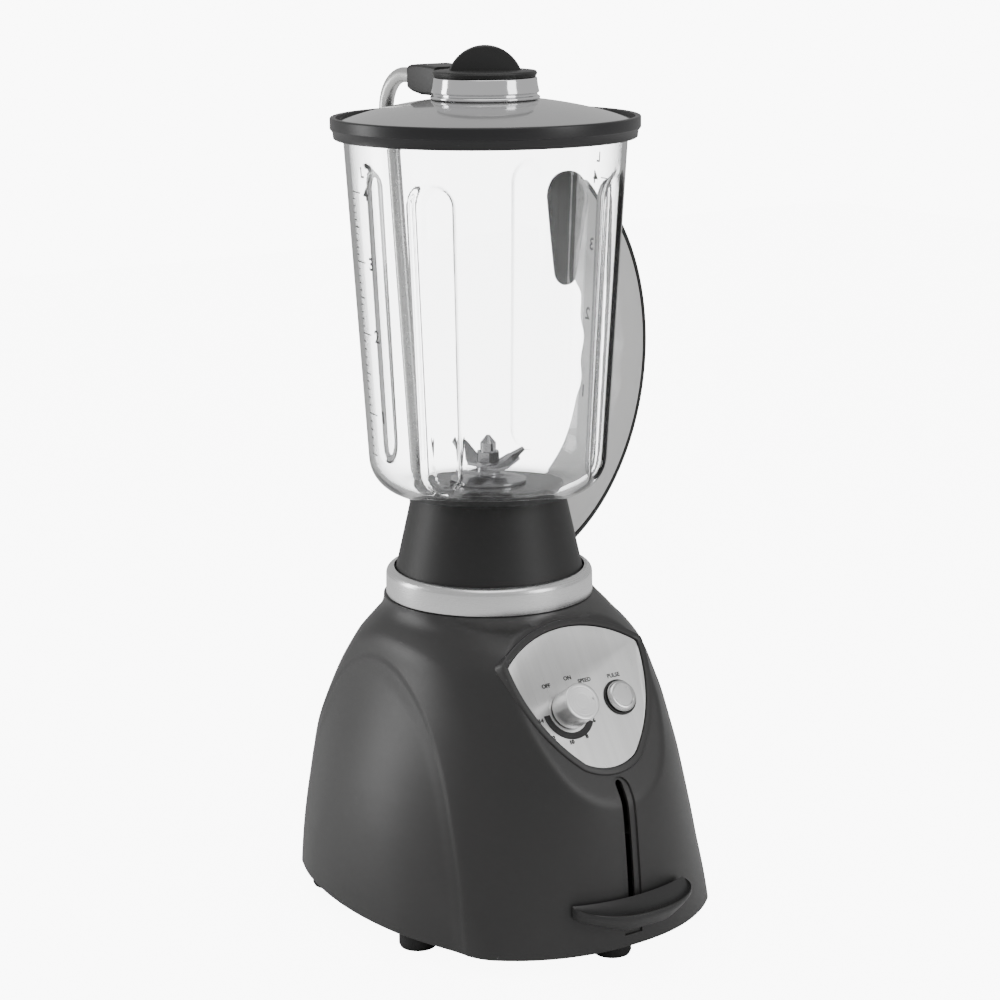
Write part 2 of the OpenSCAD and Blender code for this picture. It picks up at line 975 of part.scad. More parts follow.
module jug_collar() {
  t = 4;
  color([0.12, 0.12, 0.12])
    shifted()
      rotate_extrude()
        polygon([[cone_r1 - t, cone_z1], [cone_r1, cone_z1], [cone_r1, cone_z1 + 5], [cone_r2 + 0.5, cone_z2 - 2],
          [cone_r2, cone_z2 - 1.3], [cone_r2 - 2, cone_z2 - 1.3], [26, cone_z2 - 1.3], [26, cone_z2 - 6],
          [cone_r2 - t, cone_z2 - 6], [cone_r1 - t, cone_z1 + 5]]);
}

module blade_holder() {
  color([0.7, 0.7, 0.72])
    shifted()
      rotate_extrude()
        polygon([[8, jug_floor - 18], [11.6, jug_floor - 18], [11.6, jug_floor + 0.1 - 0.8],
          [11.6, jug_floor + 0.2], [25, jug_floor + 0.2], [25, jug_floor + 2.4], [16, jug_floor + 5],
          [8, jug_floor + 6]]);
}

module holder_nut() {
  z = cone_z2 - 6.1 - 4;
  color([0.65, 0.65, 0.67])
    shifted()
      translate([0, 0, z])
        difference() {
          cylinder(r = 30, h = 4, $fn = 6);
          translate([0, 0, -1])
            cylinder(r = 11.7, h = 10);
        }
}

module jug_bearings() {
  color([0.6, 0.6, 0.62])
    shifted()
      for (z = [jug_floor - 17.5, jug_floor - 5])
        translate([0, 0, z])
          ring_of(4 + run_fit, 8 - press, 5);
}

module shaft_seal() {
  color([0.05, 0.05, 0.05])
    shifted()
      translate([0, 0, jug_floor + 1])
        ring_of(4 + run_fit, 8 - press, 4.6);
}

module blade_shaft() {
  color([0.78, 0.78, 0.8])
    shifted()
      translate([0, 0, neck_top + 26])
        cylinder(r = 4, h = jug_floor + 19 - neck_top - 26);
}

module blade_washers() {
  color([0.6, 0.6, 0.62])
    shifted()
      union() {
        translate([0, 0, jug_floor + 6.3])
          ring_of(4 + press, 8, 1.6);
        translate([0, 0, jug_floor + 10.2])
          ring_of(4 + press, 8, 1.4);
        translate([0, 0, jug_floor + 13.9])
          ring_of(4 + press, 8, 1);
      }
}

// one two-armed blade with tips bent by the given angle
module blade(z, rise, turn) {
  root = 12;
  tip = blade_r - root;
  translate([0, 0, z])
    rotate([0, 0, turn])
      difference() {
        union() {
          translate([-root - 0.5, -7, 0])
            cube([2 * root + 1, 14, 2]);
          for (m = [0, 180])
            rotate([0, 0, m])
              translate([root, 0, 0])
                rotate([0, -rise, 0])
                  linear_extrude(2)
                    polygon([[0, -7], [tip * 0.75, -6], [tip, 2], [tip * 0.9, 5.5], [0, 7]]);
        }
        translate([0, 0, -1])
          cylinder(r = 4 + press, h = 5);
      }
}
module lower_blade() {
  color([0.8, 0.8, 0.82])
    shifted()
      blade(jug_floor + 8.05, 12, 20);
}
module upper_blade() {
  color([0.8, 0.8, 0.82])
    shifted()
      blade(jug_floor + 11.75, 42, 105);
}

module blade_nut() {
  z = jug_floor + 15.1;
  color([0.75, 0.75, 0.77])
    shifted()
      difference() {
        union() {
          translate([0, 0, z])
            cylinder(r = 8, h = 6.5, $fn = 6);
          translate([0, 0, z + 6.4])
            cylinder(r = 5.2, h = 6);
          translate([0, 0, z + 12.3])
            cylinder(r1 = 5.2, r2 = 1.2, h = 5);
        }
        translate([0, 0, z - 1])
          cylinder(r = 4 + press, h = 5.2);
      }
}

module jug_coupling() {
  color([0.08, 0.08, 0.08])
    shifted()
      translate([0, 0, neck_top + 12])
        difference() {
          cylinder(r = 22, h = 20);
          translate([0, 0, -1])
            cylinder(r = 18, h = 2.2);
          translate([0, 0, -1])
            linear_extrude(12)
              union() {
                circle(r = 9);
                for (a = [0:60:300])
                  rotate([0, 0, a])
                    translate([0, -3])
                      square([13, 6]);
              }
          translate([0, 0, 13])
            cylinder(r = 4 + press, h = 30);
        }
}

// ---- handle
module handle_frame() {
  rotate([0, 0, handle_turn])
    translate([loop_c, 0, loop_z])
      rotate([90, 0, 0])
        children();
}
module loop(r1, r2, w, a1, a2) {
  rotate([0, 0, a1])
    rotate_extrude(angle = a2 - a1)
      translate([r1, -w / 2])
        square([r2 - r1, w]);
}
// everything the handle keeps clear of: jug, pad, cone and the metal ring
module handle_keep_out() {
  rotate_extrude()
    polygon([[0, 200], [300, 200], [300, ring_z + ring_h + 3.5], [cone_r1 + gap, ring_z + ring_h + 3.5],
      [cone_r2 + 0.5 + gap, cone_z2 - 2], [cone_r2 + 0.5 + gap, cone_z2],
      [jug_foot_r + gap, cone_z2], [jug_foot_r + 0.7, jug_z1 + 1], [wall_r(pad_low) + 0.6, pad_low],
      [wall_r(pad_low) + pad_t + 0.6, pad_low], [wall_r(jug_top) + pad_t + 0.6, jug_top],
      [jug_mouth_r + 5, 600], [0, 600]]);
}
module handle_body() {
  color([0.72, 0.72, 0.71])
    shifted()
      difference() {
        handle_frame()
          difference() {
            loop(loop_in, loop_out - 4, handle_w, -75, 59);
            for (a = [-14, 2, 18])
              rotate([0, 0, a])
                translate([loop_in - 7, 0, -handle_w])
                  cylinder(r = 12, h = 2 * handle_w);
          }
        handle_keep_out();
      }
}
module handle_strip() {
  color([0.06, 0.06, 0.06])
    shifted()
      difference() {
        handle_frame()
          loop(loop_out - 3.95, loop_out, handle_w, -75, 57);
        handle_keep_out();
      }
}
pad_low = jug_top - 110;
pad_t = 4.2;
pad_w = 36;
pad_h = 76;
module handle_pad() {
  color([0.05, 0.05, 0.05])
    shifted()
      intersection() {
        rotate([0, 0, handle_turn])
          translate([60, 0, pad_low + pad_h - pad_w / 2])
            rotate([90, 0, 90])
              linear_extrude(60)
                union() {
                  circle(r = pad_w / 2);
                  translate([0, pad_w * 0.75 - pad_h])
                    circle(r = pad_w / 4);
                  polygon([[-pad_w / 2, 0], [-pad_w / 4, pad_w * 0.75 - pad_h],
                    [pad_w / 4, pad_w * 0.75 - pad_h], [pad_w / 2, 0]]);
                }
        rotate_extrude()
          polygon([[wall_r(pad_low - 2) + gap, pad_low - 2], [wall_r(pad_low - 2) + pad_t, pad_low - 2],
            [wall_r(jug_top) + pad_t, jug_top], [wall_r(jug_top) + gap, jug_top]]);
      }
}

// ================= lid =================
rim_low = jug_top - 5.5;
rim_step = jug_top + gap;
rim_top = rim_step + 8;
plug_r = jug_mouth_r - jug_wall - 1;
module lid_rim() {
  color([0.1, 0.1, 0.1])
    shifted()
      rotate_extrude()
        polygon([[jug_mouth_r + gap, rim_low], [lid_r - 2.4, rim_low], [lid_r - 1.8, rim_step - 1],
          [lid_r - 0.4, rim_step], [lid_r, rim_step + 2], [lid_r, rim_top - 0.8], [lid_r - 1, rim_top],
          [lid_r - 4, rim_top], [lid_r - 4, rim_top - 4], [plug_r - 6.8, rim_top - 4],
          [plug_r - 6.8, jug_top - 5], [plug_r - 3.8, jug_top - 6], [plug_r, jug_top - 3],
          [plug_r, jug_top + gap],
          [jug_mouth_r + gap, jug_top + gap]]);
}

dome_r = 300;
dome_top = rim_top + 10 + 34 * 34 / (2 * 300);
module dome_skin(d) {
  intersection() {
    translate([0, 0, dome_top - dome_r])
      sphere(r = dome_r - d, $fn = 200);
    translate([0, 0, rim_top - 3.9 + d])
      cylinder(r = lid_r - 4.2 - d, h = 60);
  }
}
module lid_dome() {
  color([0.62, 0.62, 0.62])
    shifted()
      difference() {
        dome_skin(0);
        translate([0, 0, -4])
          dome_skin(2.6);
        translate([0, 0, rim_top - 42])
          cylinder(r = filler_bore + 0.6, h = 80);
      }
}

collar_z = rim_top + 10.3;
collar_top = collar_z + 13.8;
filler_bore = filler_r - 8;
module filler_collar() {
  color([0.85, 0.85, 0.86])
    shifted()
      rotate_extrude()
        polygon([[filler_bore, collar_z - 16], [filler_bore + 0.5, collar_z - 16],
          [filler_bore + 0.5, collar_z + 0.7], [filler_r - 0.9, collar_z],
          [filler_r, collar_z + 1], [filler_r - 0.6, collar_z + 2.1], [filler_r - 1.6, collar_z + 3],
          [filler_r - 0.5, collar_z + 4.4], [filler_r - 1.4, collar_z + 8], [filler_r - 2, collar_top - 0.5],
          [filler_r - 2.6, collar_top], [filler_bore, collar_top]]);
}

cap_z = collar_top + gap;
module filler_cap() {
  fin_w = 46;
  color([0.11, 0.11, 0.11])
    shifted()
      union() {
        translate([0, 0, cap_z])
          rotate_extrude()
            polygon([[0, 0], [filler_r - 2.6, 0], [filler_r - 1.8, 2.4], [filler_r - 2.2, 3.4], [0, 4.2]]);
        translate([0, 0, cap_z - 24])
          ring_of(filler_bore - 7, filler_bore - 3.5, 24.1);
        rotate([0, 0, -32])
          intersection() {
            translate([0, 5, cap_z + 3.5 - 8.66])
              rotate([90, 0, 0])
                cylinder(r = 24.86, h = 10);
            translate([-40, -10, cap_z + 1])
              cube([80, 20, 40]);
          }
      }
}

module cap_seal() {
  color([0.3, 0.3, 0.3])
    shifted()
      translate([0, 0, cap_z - 20])
        ring_of(filler_bore - 3.5 + run_fit, filler_bore - 0.3, 5);
}

base_housing();
base_plate();
feet();
foot_screws();
plate_screws();
inner_posts();
collar_ring();
seat_pad();
panel_plate();
dial_scale();
speed_knob();
speed_pot();
knob_shaft();
pulse_bezel();
pulse_button();
pulse_switch();
pulse_spring();
clamp_lever();
lever_stem();
clamp_yoke();
clamp_rails();
rail_screws();
clamp_arm();
rod_clip();
rod_bush();
arm_head();
motor_deck();
motor_bolts();
motor_brackets();
motor_bearings();
motor_stator();
motor_windings();
motor_armature();
motor_shaft();
motor_fan();
drive_coupling();
control_board();
board_parts();
safety_switch();
mains_inlet();
jug();
jug_collar();
blade_holder();
holder_nut();
jug_bearings();
shaft_seal();
blade_shaft();
blade_washers();
lower_blade();
upper_blade();
blade_nut();
jug_coupling();
handle_body();
handle_strip();
handle_pad();
lid_rim();
lid_dome();
filler_collar();
filler_cap();
cap_seal();
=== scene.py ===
import bmesh
import bpy
import json
import math
from mathutils import Matrix, Vector


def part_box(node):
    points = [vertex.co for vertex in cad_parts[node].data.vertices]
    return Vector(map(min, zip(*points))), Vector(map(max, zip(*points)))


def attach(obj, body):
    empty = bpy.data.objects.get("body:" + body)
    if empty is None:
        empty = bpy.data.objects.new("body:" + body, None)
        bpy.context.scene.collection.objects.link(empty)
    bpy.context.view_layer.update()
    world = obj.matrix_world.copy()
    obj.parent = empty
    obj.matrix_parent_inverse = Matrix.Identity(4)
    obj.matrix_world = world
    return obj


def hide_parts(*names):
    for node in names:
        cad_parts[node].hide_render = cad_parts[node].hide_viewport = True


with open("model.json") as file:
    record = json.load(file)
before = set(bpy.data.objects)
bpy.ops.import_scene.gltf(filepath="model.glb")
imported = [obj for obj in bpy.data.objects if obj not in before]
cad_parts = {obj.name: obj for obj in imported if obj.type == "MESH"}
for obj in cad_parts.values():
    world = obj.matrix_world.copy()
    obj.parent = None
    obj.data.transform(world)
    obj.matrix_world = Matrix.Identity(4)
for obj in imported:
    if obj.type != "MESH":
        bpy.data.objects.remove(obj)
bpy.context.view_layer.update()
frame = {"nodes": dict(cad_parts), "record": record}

# ---- Table, lights and camera
# The machine stands on a flat pale table. Broad soft panels
# light it from both sides and from above, as in a product studio.
table_half, table_seen_glow = 3.0, 8.7
table_bm = bmesh.new()
bmesh.ops.create_grid(table_bm, x_segments=2, y_segments=2, size=table_half)
table_mesh = bpy.data.meshes.new("table")
table_bm.to_mesh(table_mesh)
table_bm.free()
table = bpy.data.objects.new("table", table_mesh)
bpy.context.scene.collection.objects.link(table)
table_paint = bpy.data.materials.new("table_paint")
table_paint.use_nodes = True
table_shader = table_paint.node_tree.nodes["Principled BSDF"]
table_shader.inputs["Base Color"].default_value = (0.9, 0.9, 0.9, 1)
table_shader.inputs["Roughness"].default_value = 0.6
table_mesh.materials.append(table_paint)


def bright_to_the_eye(nodes, links):
    """1 where the pale ground is seen straight on, nearly 1 through the clear jug, 0 where it only gives light."""
    paths = nodes.new("ShaderNodeLightPath")
    straight = nodes.new("ShaderNodeMath")
    straight.operation = "LESS_THAN"
    straight.inputs[1].default_value = 0.5
    links.new(paths.outputs["Glossy Depth"], straight.inputs[0])
    clear = nodes.new("ShaderNodeMath")
    clear.operation = "MULTIPLY"
    links.new(paths.outputs["Is Transmission Ray"], clear.inputs[0])
    links.new(straight.outputs["Value"], clear.inputs[1])
    through = nodes.new("ShaderNodeMath")
    through.operation = "MULTIPLY"
    through.inputs[1].default_value = 0.8
    links.new(clear.outputs["Value"], through.inputs[0])
    seen = nodes.new("ShaderNodeMath")
    seen.operation = "MAXIMUM"
    links.new(paths.outputs["Is Camera Ray"], seen.inputs[0])
    links.new(through.outputs["Value"], seen.inputs[1])
    return seen.outputs["Value"]


table_nodes, table_links = table_paint.node_tree.nodes, table_paint.node_tree.links
table_glow = table_nodes.new("ShaderNodeMath")
table_glow.operation = "MULTIPLY"
table_glow.inputs[1].default_value = table_seen_glow
table_links.new(bright_to_the_eye(table_nodes, table_links), table_glow.inputs[0])
table_shader.inputs["Emission Color"].default_value = (1, 1, 1, 1)
table_links.new(table_glow.outputs["Value"], table_shader.inputs["Emission Strength"])

room = bpy.data.worlds.new("studio")
bpy.context.scene.world = room
room.use_nodes = True
room.node_tree.nodes["Background"].inputs["Color"].default_value = (1, 1, 1, 1)
room_nodes, room_links = room.node_tree.nodes, room.node_tree.links
room_glow = room_nodes.new("ShaderNodeMath")
room_glow.operation = "MULTIPLY_ADD"
room_glow.inputs[1].default_value = 9.0
room_glow.inputs[2].default_value = 0.55
room_links.new(bright_to_the_eye(room_nodes, room_links), room_glow.inputs[0])
room_links.new(room_glow.outputs["Value"], room_nodes["Background"].inputs["Strength"])

machine_middle = Vector((0, 0, 0.28))


def soft_panel(name, place, width, height, power):
    lamp = bpy.data.lights.new(name, "AREA")
    lamp.shape = "RECTANGLE"
    lamp.size = width
    lamp.size_y = height
    lamp.energy = power
    holder = bpy.data.objects.new(name, lamp)
    holder.location = place
    aim = machine_middle - Vector(place)
    holder.rotation_euler = aim.to_track_quat("-Z", "Y").to_euler()
    bpy.context.scene.collection.objects.link(holder)


soft_panel("left_panel", (-1.5, 1.4, 0.5), 0.5, 1.4, 15)
soft_panel("front_right_panel", (0.9, -1.9, 1.0), 0.8, 1.4, 12)
soft_panel("top_panel", (-0.1, -0.3, 2.0), 1.4, 1.4, 12)

lens = bpy.data.cameras.new("view")
lens.lens = 91.2
lens.sensor_width = 36
camera = bpy.data.objects.new("view", lens)
bpy.context.scene.collection.objects.link(camera)
look = Vector((0.55873, 0.79795, -0.22606))
turn = look.to_track_quat("-Z", "Y").to_matrix().to_4x4() @ Matrix.Rotation(math.radians(-0.42), 4, "Z")
camera.matrix_world = Matrix.Translation((-0.9453, -1.3067, 0.6479)) @ turn
bpy.context.scene.camera = camera

# ---- Base housing
# The grey moulded housing of the motor, one thick-walled shell: bowed side panels cut into
# a swelling body as tall arches, and a flat sloping face at the front for the controls.
collar_low, collar_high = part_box("jug_collar")
axis_x = (collar_low.x + collar_high.x) / 2
axis_y = (collar_low.y + collar_high.y) / 2
in_place = Matrix.Translation((axis_x, axis_y, 0)) @ Matrix.Scale(0.001, 4)

shell_law = [
    (12, 133, 115, 157, 124, 2.2, 2.4), (32, 125, 113.8, 156.6, 122.8, 2.2, 2.6),
    (50, 119, 111.8, 155.5, 121, 2.2, 2.8), (70, 114, 108.8, 153.5, 119, 2.2, 2.9),
    (91, 108.5, 104.6, 151, 116, 2.2, 3.0), (105, 105, 101.4, 148.7, 113.4, 2.2, 3.0),
    (118, 102, 98.3, 146, 110, 2.2, 3.0), (135, 98, 94, 140.5, 102, 2.2, 3.0),
    (153, 94.5, 89.6, 133, 94, 2.2, 2.8), (165, 91.4, 86.9, 126.4, 89.6, 2.2, 2.6),
    (176, 88.5, 84.5, 120, 84.4, 2.2, 2.4), (184, 85.4, 83.2, 114.6, 80, 2.2, 2.3),
    (190, 81.4, 82.4, 110, 76.6, 2.2, 2.2), (196, 76.6, 82, 104.4, 73.4, 2.2, 2.1),
    (201, 72.6, 82, 97.6, 71.4, 2.15, 2.0), (205.6, 70.4, 82, 88, 70.3, 2.1, 2.0),
    (208.4, 70.05, 82, 78, 70.05, 2.0, 2.0), (210, 70, 82, 70, 70, 2.0, 2.0),
]
bow_radius = 280
bow_centre = -8
panel_tilt = 34
panel_point = (0, -93, 187.5)
panel_lean = (math.cos(math.radians(panel_tilt)), math.sin(math.radians(panel_tilt)))
panel_reach = -panel_lean[0] * panel_point[1] + panel_lean[1] * panel_point[2]


def law_at(z):
    rows = shell_law
    k = 0
    while k < len(rows) - 2 and rows[k + 1][0] <= z:
        k += 1
    z0, z1 = rows[k][0], rows[k + 1][0]
    t = min(max((z - z0) / (z1 - z0), 0), 1)
    values = []
    for c in range(1, 7):
        def slope(j):
            j0, j1 = max(j - 1, 0), min(j + 1, len(rows) - 1)
            return (rows[j1][c] - rows[j0][c]) / (rows[j1][0] - rows[j0][0])
        span = z1 - z0
        m0, m1 = slope(k) * span, slope(k + 1) * span
        h00 = 2 * t ** 3 - 3 * t ** 2 + 1
        h10 = t ** 3 - 2 * t ** 2 + t
        h01 = -2 * t ** 3 + 3 * t ** 2
        h11 = t ** 3 - t ** 2
        values.append(h00 * rows[k][c] + h10 * m0 + h01 * rows[k + 1][c] + h11 * m1)
    return values


def softly_least(a, b, width):
    near = max(width - abs(a - b), 0) / width
    return min(a, b) - near * near * width / 4


def shell_radius(angle, z, inset):
    a, side, front, rear, n_front, n_rear = law_at(z)
    c, q = math.cos(angle), math.sin(angle)
    n = n_front if q < 0 else n_rear
    reach = (front if q < 0 else rear) - inset
    body = (abs(c / (a - inset)) ** n + abs(q / reach) ** n) ** (-1 / n)
    off = bow_radius - (side - inset)
    b = q * bow_centre - abs(c) * off
    side_hit = b + math.sqrt(b * b - (off * off + bow_centre ** 2 - bow_radius ** 2))
    r = softly_least(body, side_hit, 3)
    # the side panel is let in below an arch: a crisp edge, a slope and a gentle way back out
    arch_half = 109 + 7 * max(1 - z / 95, 0)
    within = 110 * (1 - math.hypot((r * q - 5) / arch_half, z / 178.5))
    first = min(max(within / 2.4, 0), 1)
    second = min(max((within - 1.5) / 9, 0), 1)
    fade = min(max((within - 12) / 45, 0), 1)
    let_in = 0.9 * first ** 2 * (3 - 2 * first) + 0.8 * second ** 2 * (3 - 2 * second)
    r -= let_in * (1 - fade ** 2 * (3 - 2 * fade))
    if q < -0.2:
        face = (panel_reach - inset - panel_lean[1] * z) / (-panel_lean[0] * q)
        r = softly_least(r, face, 2.0)
    return r


def ring_step(bm, edges):
    grown = bmesh.ops.extrude_edge_only(bm, edges=edges)["geom"]
    new_verts = [g for g in grown if isinstance(g, bmesh.types.BMVert)]
    new_edges = [g for g in grown if isinstance(g, bmesh.types.BMEdge)]
    return new_verts, new_edges


def around(v):
    return math.atan2(v.co.y, v.co.x)


def finished(name, bm, material, body, stands_for=(), crease=35, flip=True):
    bm.transform(in_place)
    if flip:
        bmesh.ops.recalc_face_normals(bm, faces=bm.faces)
    mesh = bpy.data.meshes.new(name)
    bm.to_mesh(mesh)
    bm.free()
    mesh.materials.append(material)
    mesh.shade_smooth()
    mesh.set_sharp_from_angle(angle=math.radians(crease))
    made = bpy.data.objects.new(name, mesh)
    bpy.context.scene.collection.objects.link(made)
    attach(made, body)
    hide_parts(*stands_for)
    return made


def cut_away(target, cutter_bm):
    cutter_bm.transform(in_place)
    bmesh.ops.recalc_face_normals(cutter_bm, faces=cutter_bm.faces)
    mesh = bpy.data.meshes.new("cutter")
    cutter_bm.to_mesh(mesh)
    cutter_bm.free()
    mesh.materials.append(target.data.materials[0])
    cutter = bpy.data.objects.new("cutter", mesh)
    bpy.context.scene.collection.objects.link(cutter)
    cut = target.modifiers.new("cut", "BOOLEAN")
    cut.operation = "DIFFERENCE"
    cut.solver = "EXACT"
    cut.object = cutter
    with bpy.context.temp_override(object=target, active_object=target, selected_objects=[target]):
        bpy.ops.object.modifier_apply(modifier=cut.name)
    bpy.data.objects.remove(cutter)
    target.data.shade_smooth()
    target.data.set_sharp_from_angle(angle=math.radians(30))


def plain_shader(name, colour, roughness, metallic=0.0, specular=0.5):
    made = bpy.data.materials.new(name)
    made.use_nodes = True
    shader = made.node_tree.nodes["Principled BSDF"]
    shader.inputs["Base Color"].default_value = (*colour, 1)
    shader.inputs["Roughness"].default_value = roughness
    shader.inputs["Metallic"].default_value = metallic
    shader.inputs["Specular IOR Level"].default_value = specular
    return made


def grained(material, scale, depth, stretch=(1, 1, 1), turned=(0, 0, 0), centre=(0, 0, 0), speck=0.0):
    """Fine relief on a material, with a little wander in how rough it is."""
    nodes, links = material.node_tree.nodes, material.node_tree.links
    shader = nodes["Principled BSDF"]
    place = nodes.new("ShaderNodeTexCoord")
    shift = nodes.new("ShaderNodeMapping")
    shift.inputs["Location"].default_value = [-c for c in centre]
    spin = nodes.new("ShaderNodeMapping")
    spin.inputs["Rotation"].default_value = turned
    spin.inputs["Scale"].default_value = stretch
    grain = nodes.new("ShaderNodeTexNoise")
    grain.inputs["Scale"].default_value = scale
    grain.inputs["Detail"].default_value = 3
    relief = nodes.new("ShaderNodeBump")
    relief.inputs["Strength"].default_value = 0.6
    relief.inputs["Distance"].default_value = depth
    links.new(place.outputs["Object"], shift.inputs["Vector"])
    links.new(shift.outputs["Vector"], spin.inputs["Vector"])
    links.new(spin.outputs["Vector"], grain.inputs["Vector"])
    links.new(grain.outputs["Fac"], relief.inputs["Height"])
    links.new(relief.outputs["Normal"], shader.inputs["Normal"])
    wander = nodes.new("ShaderNodeMapRange")
    rough = shader.inputs["Roughness"].default_value
    wander.inputs["To Min"].default_value = max(rough - 0.06, 0.02)
    wander.inputs["To Max"].default_value = rough + 0.06
    links.new(grain.outputs["Fac"], wander.inputs["Value"])
    links.new(wander.outputs["Result"], shader.inputs["Roughness"])
    if speck:
        tone = nodes.new("ShaderNodeMapRange")
        colour = list(shader.inputs["Base Color"].default_value)[:3]
        broad = nodes.new("ShaderNodeTexNoise")
        broad.inputs["Scale"].default_value = scale / 12
        mix = nodes.new("ShaderNodeMix")
        mix.data_type = "RGBA"
        mix.inputs[6].default_value = (*[c * (1 - speck) for c in colour], 1)
        mix.inputs[7].default_value = (*[min(c * (1 + speck), 1) for c in colour], 1)
        links.new(spin.outputs["Vector"], broad.inputs["Vector"])
        links.new(broad.outputs["Fac"], tone.inputs["Value"])
        links.new(tone.outputs["Result"], mix.inputs[0])
        links.new(mix.outputs[2], shader.inputs["Base Color"])
    return material


housing_grey = grained(plain_shader("housing_grey", (0.027, 0.0267, 0.0265), 0.4), 1400, 0.00004, speck=0.04)

shell_bm = bmesh.new()
directions = 520
bmesh.ops.create_circle(shell_bm, segments=directions, radius=100)
first = list(shell_bm.edges)
wall = 3.5
levels = [(12 + 198 * k / 118, 0) for k in range(119)]
inner_levels = [(204 - 191.5 * k / 30, wall) for k in range(31)]


def seat_ring(verts, z, inset=None, radius=None):
    for v in verts:
        angle = around(v)
        r = radius if radius else shell_radius(angle, z, inset)
        v.co = (r * math.cos(angle), r * math.sin(angle), z)


seat_ring(list(shell_bm.verts), 12, 0.8)
edges = first
for z, inset in [(12.8, 0)] + levels[1:]:
    verts, edges = ring_step(shell_bm, edges)
    seat_ring(verts, z, inset)
for z, radius in ((210, 40), (210, 24), (206, 24), (206, 45)):
    verts, edges = ring_step(shell_bm, edges)
    seat_ring(verts, z, radius=radius)
for z, inset in inner_levels:
    verts, edges = ring_step(shell_bm, edges)
    seat_ring(verts, z, inset)
bmesh.ops.bridge_loops(shell_bm, edges=first + edges)
housing = finished("housing", shell_bm, housing_grey, "base", ["base_housing"], crease=40)

# the pocket for the control plate, the openings of the controls, the lever slot and its channel
on_panel = Matrix.Translation(panel_point) @ Matrix.Rotation(math.radians(90 - panel_tilt), 4, "X")


def shield_outline(grow):
    """The plate's outline, as points round a shape bounded by four large arcs."""
    points = []
    for k in range(180):
        a = 2 * math.pi * k / 180
        c, q = math.cos(a), math.sin(a)
        best = 1e9
        for cx, cy, r in ((0, -60.3, 79.3), (-55, 5, 105.9), (55, 5, 105.9)):
            ox, oy = -cx, -34 - cy
            b = ox * c + oy * q
            best = min(best, -b + math.sqrt(b * b - (ox * ox + oy * oy - (r + grow) ** 2)))
        if q < 0:
            ox, oy = 0, -34 + 40
            b = ox * c + oy * q
            foot = -b + math.sqrt(b * b - (ox * ox + oy * oy - (36 + grow) ** 2))
            y_foot = -34 + foot * q
            if y_foot < -53:
                best = min(best, foot)
        points.append((best * c, -34 + best * q))
    return points


def plate_solid(bm, outline, z0, z1, where):
    verts = [bm.verts.new((x, y, z0)) for x, y in outline]
    face = bm.faces.new(verts)
    grown = bmesh.ops.extrude_face_region(bm, geom=[face])["geom"]
    top = [g for g in grown if isinstance(g, bmesh.types.BMVert)]
    for v in top:
        v.co.z = z1
    for v in verts + top:
        v.co = where @ v.co
    return [g for g in grown if isinstance(g, bmesh.types.BMFace)]


def round_bar(bm, radius, z0, z1, where, segments=48):
    made = bmesh.ops.create_cone(bm, cap_ends=True, segments=segments, radius1=radius, radius2=radius,
                                 depth=z1 - z0, matrix=where @ Matrix.Translation((0, 0, (z0 + z1) / 2)))
    return made["verts"]


knob_at = on_panel @ Matrix.Translation((-18.6, -34.7, 0))
pulse_at = on_panel @ Matrix.Translation((23, -33.3, 0))
cutter = bmesh.new()
plate_solid(cutter, shield_outline(0.45), -1.8, 12, on_panel)
cut_away(housing, cutter)
cutter = bmesh.new()
round_bar(cutter, 5.2, -20, 10, knob_at)
round_bar(cutter, 8.6, -20, 10, pulse_at)
cut_away(housing, cutter)


def long_slot(bm, width, z0, z1, y0, y1):
    """An upright slot with a rounded top, cut from the front."""
    outline = [(-width / 2, z0), (width / 2, z0)]
    outline += [(width / 2 * math.cos(a), z1 + width / 2 * math.sin(a))
                for a in [math.pi * k / 16 for k in range(17)]]
    verts = [bm.verts.new((x, y0, z)) for x, z in outline]
    face = bm.faces.new(verts)
    grown = bmesh.ops.extrude_face_region(bm, geom=[face])["geom"]
    for g in grown:
        if isinstance(g, bmesh.types.BMVert):
            g.co.y = y1
    return verts + [g for g in grown if isinstance(g, bmesh.types.BMVert)]


cutter = bmesh.new()
long_slot(cutter, 5, 27, 114.5, -220, -90)
cut_away(housing, cutter)
# the channel keeps one shallow depth below the swelling front and has bevelled sides
cutter = bmesh.new()
channel_half, channel_deep, channel_foot, channel_arch = 7.0, 1.5, 20, 112
channel_ring = [cutter.verts.new((0, 0, 0)) for k in range(6)]
edges = [cutter.edges.new((channel_ring[k], channel_ring[(k + 1) % 6])) for k in range(6)]
channel_levels = [channel_foot + (channel_arch - channel_foot) * k / 23 for k in range(24)]
channel_levels += [channel_arch + channel_half * math.sin(math.radians(a)) for a in range(12, 90, 12)]
verts = channel_ring
for z in channel_levels:
    half = math.sqrt(max(channel_half ** 2 - max(z - channel_arch, 0) ** 2, 0.5))
    floor_y = -shell_radius(-math.pi / 2, z, 0) + channel_deep
    for v, (x, y) in zip(verts, ((-half, -190), (half, -190), (half, floor_y - 1.6), (half - 0.6 * half / 7, floor_y),
                                 (-half + 0.6 * half / 7, floor_y), (-half, floor_y - 1.6))):
        v.co = (x, y, z)
    if z != channel_levels[-1]:
        verts, edges = ring_step(cutter, edges)
bmesh.ops.holes_fill(cutter, edges=cutter.edges, sides=0)
cut_away(housing, cutter)

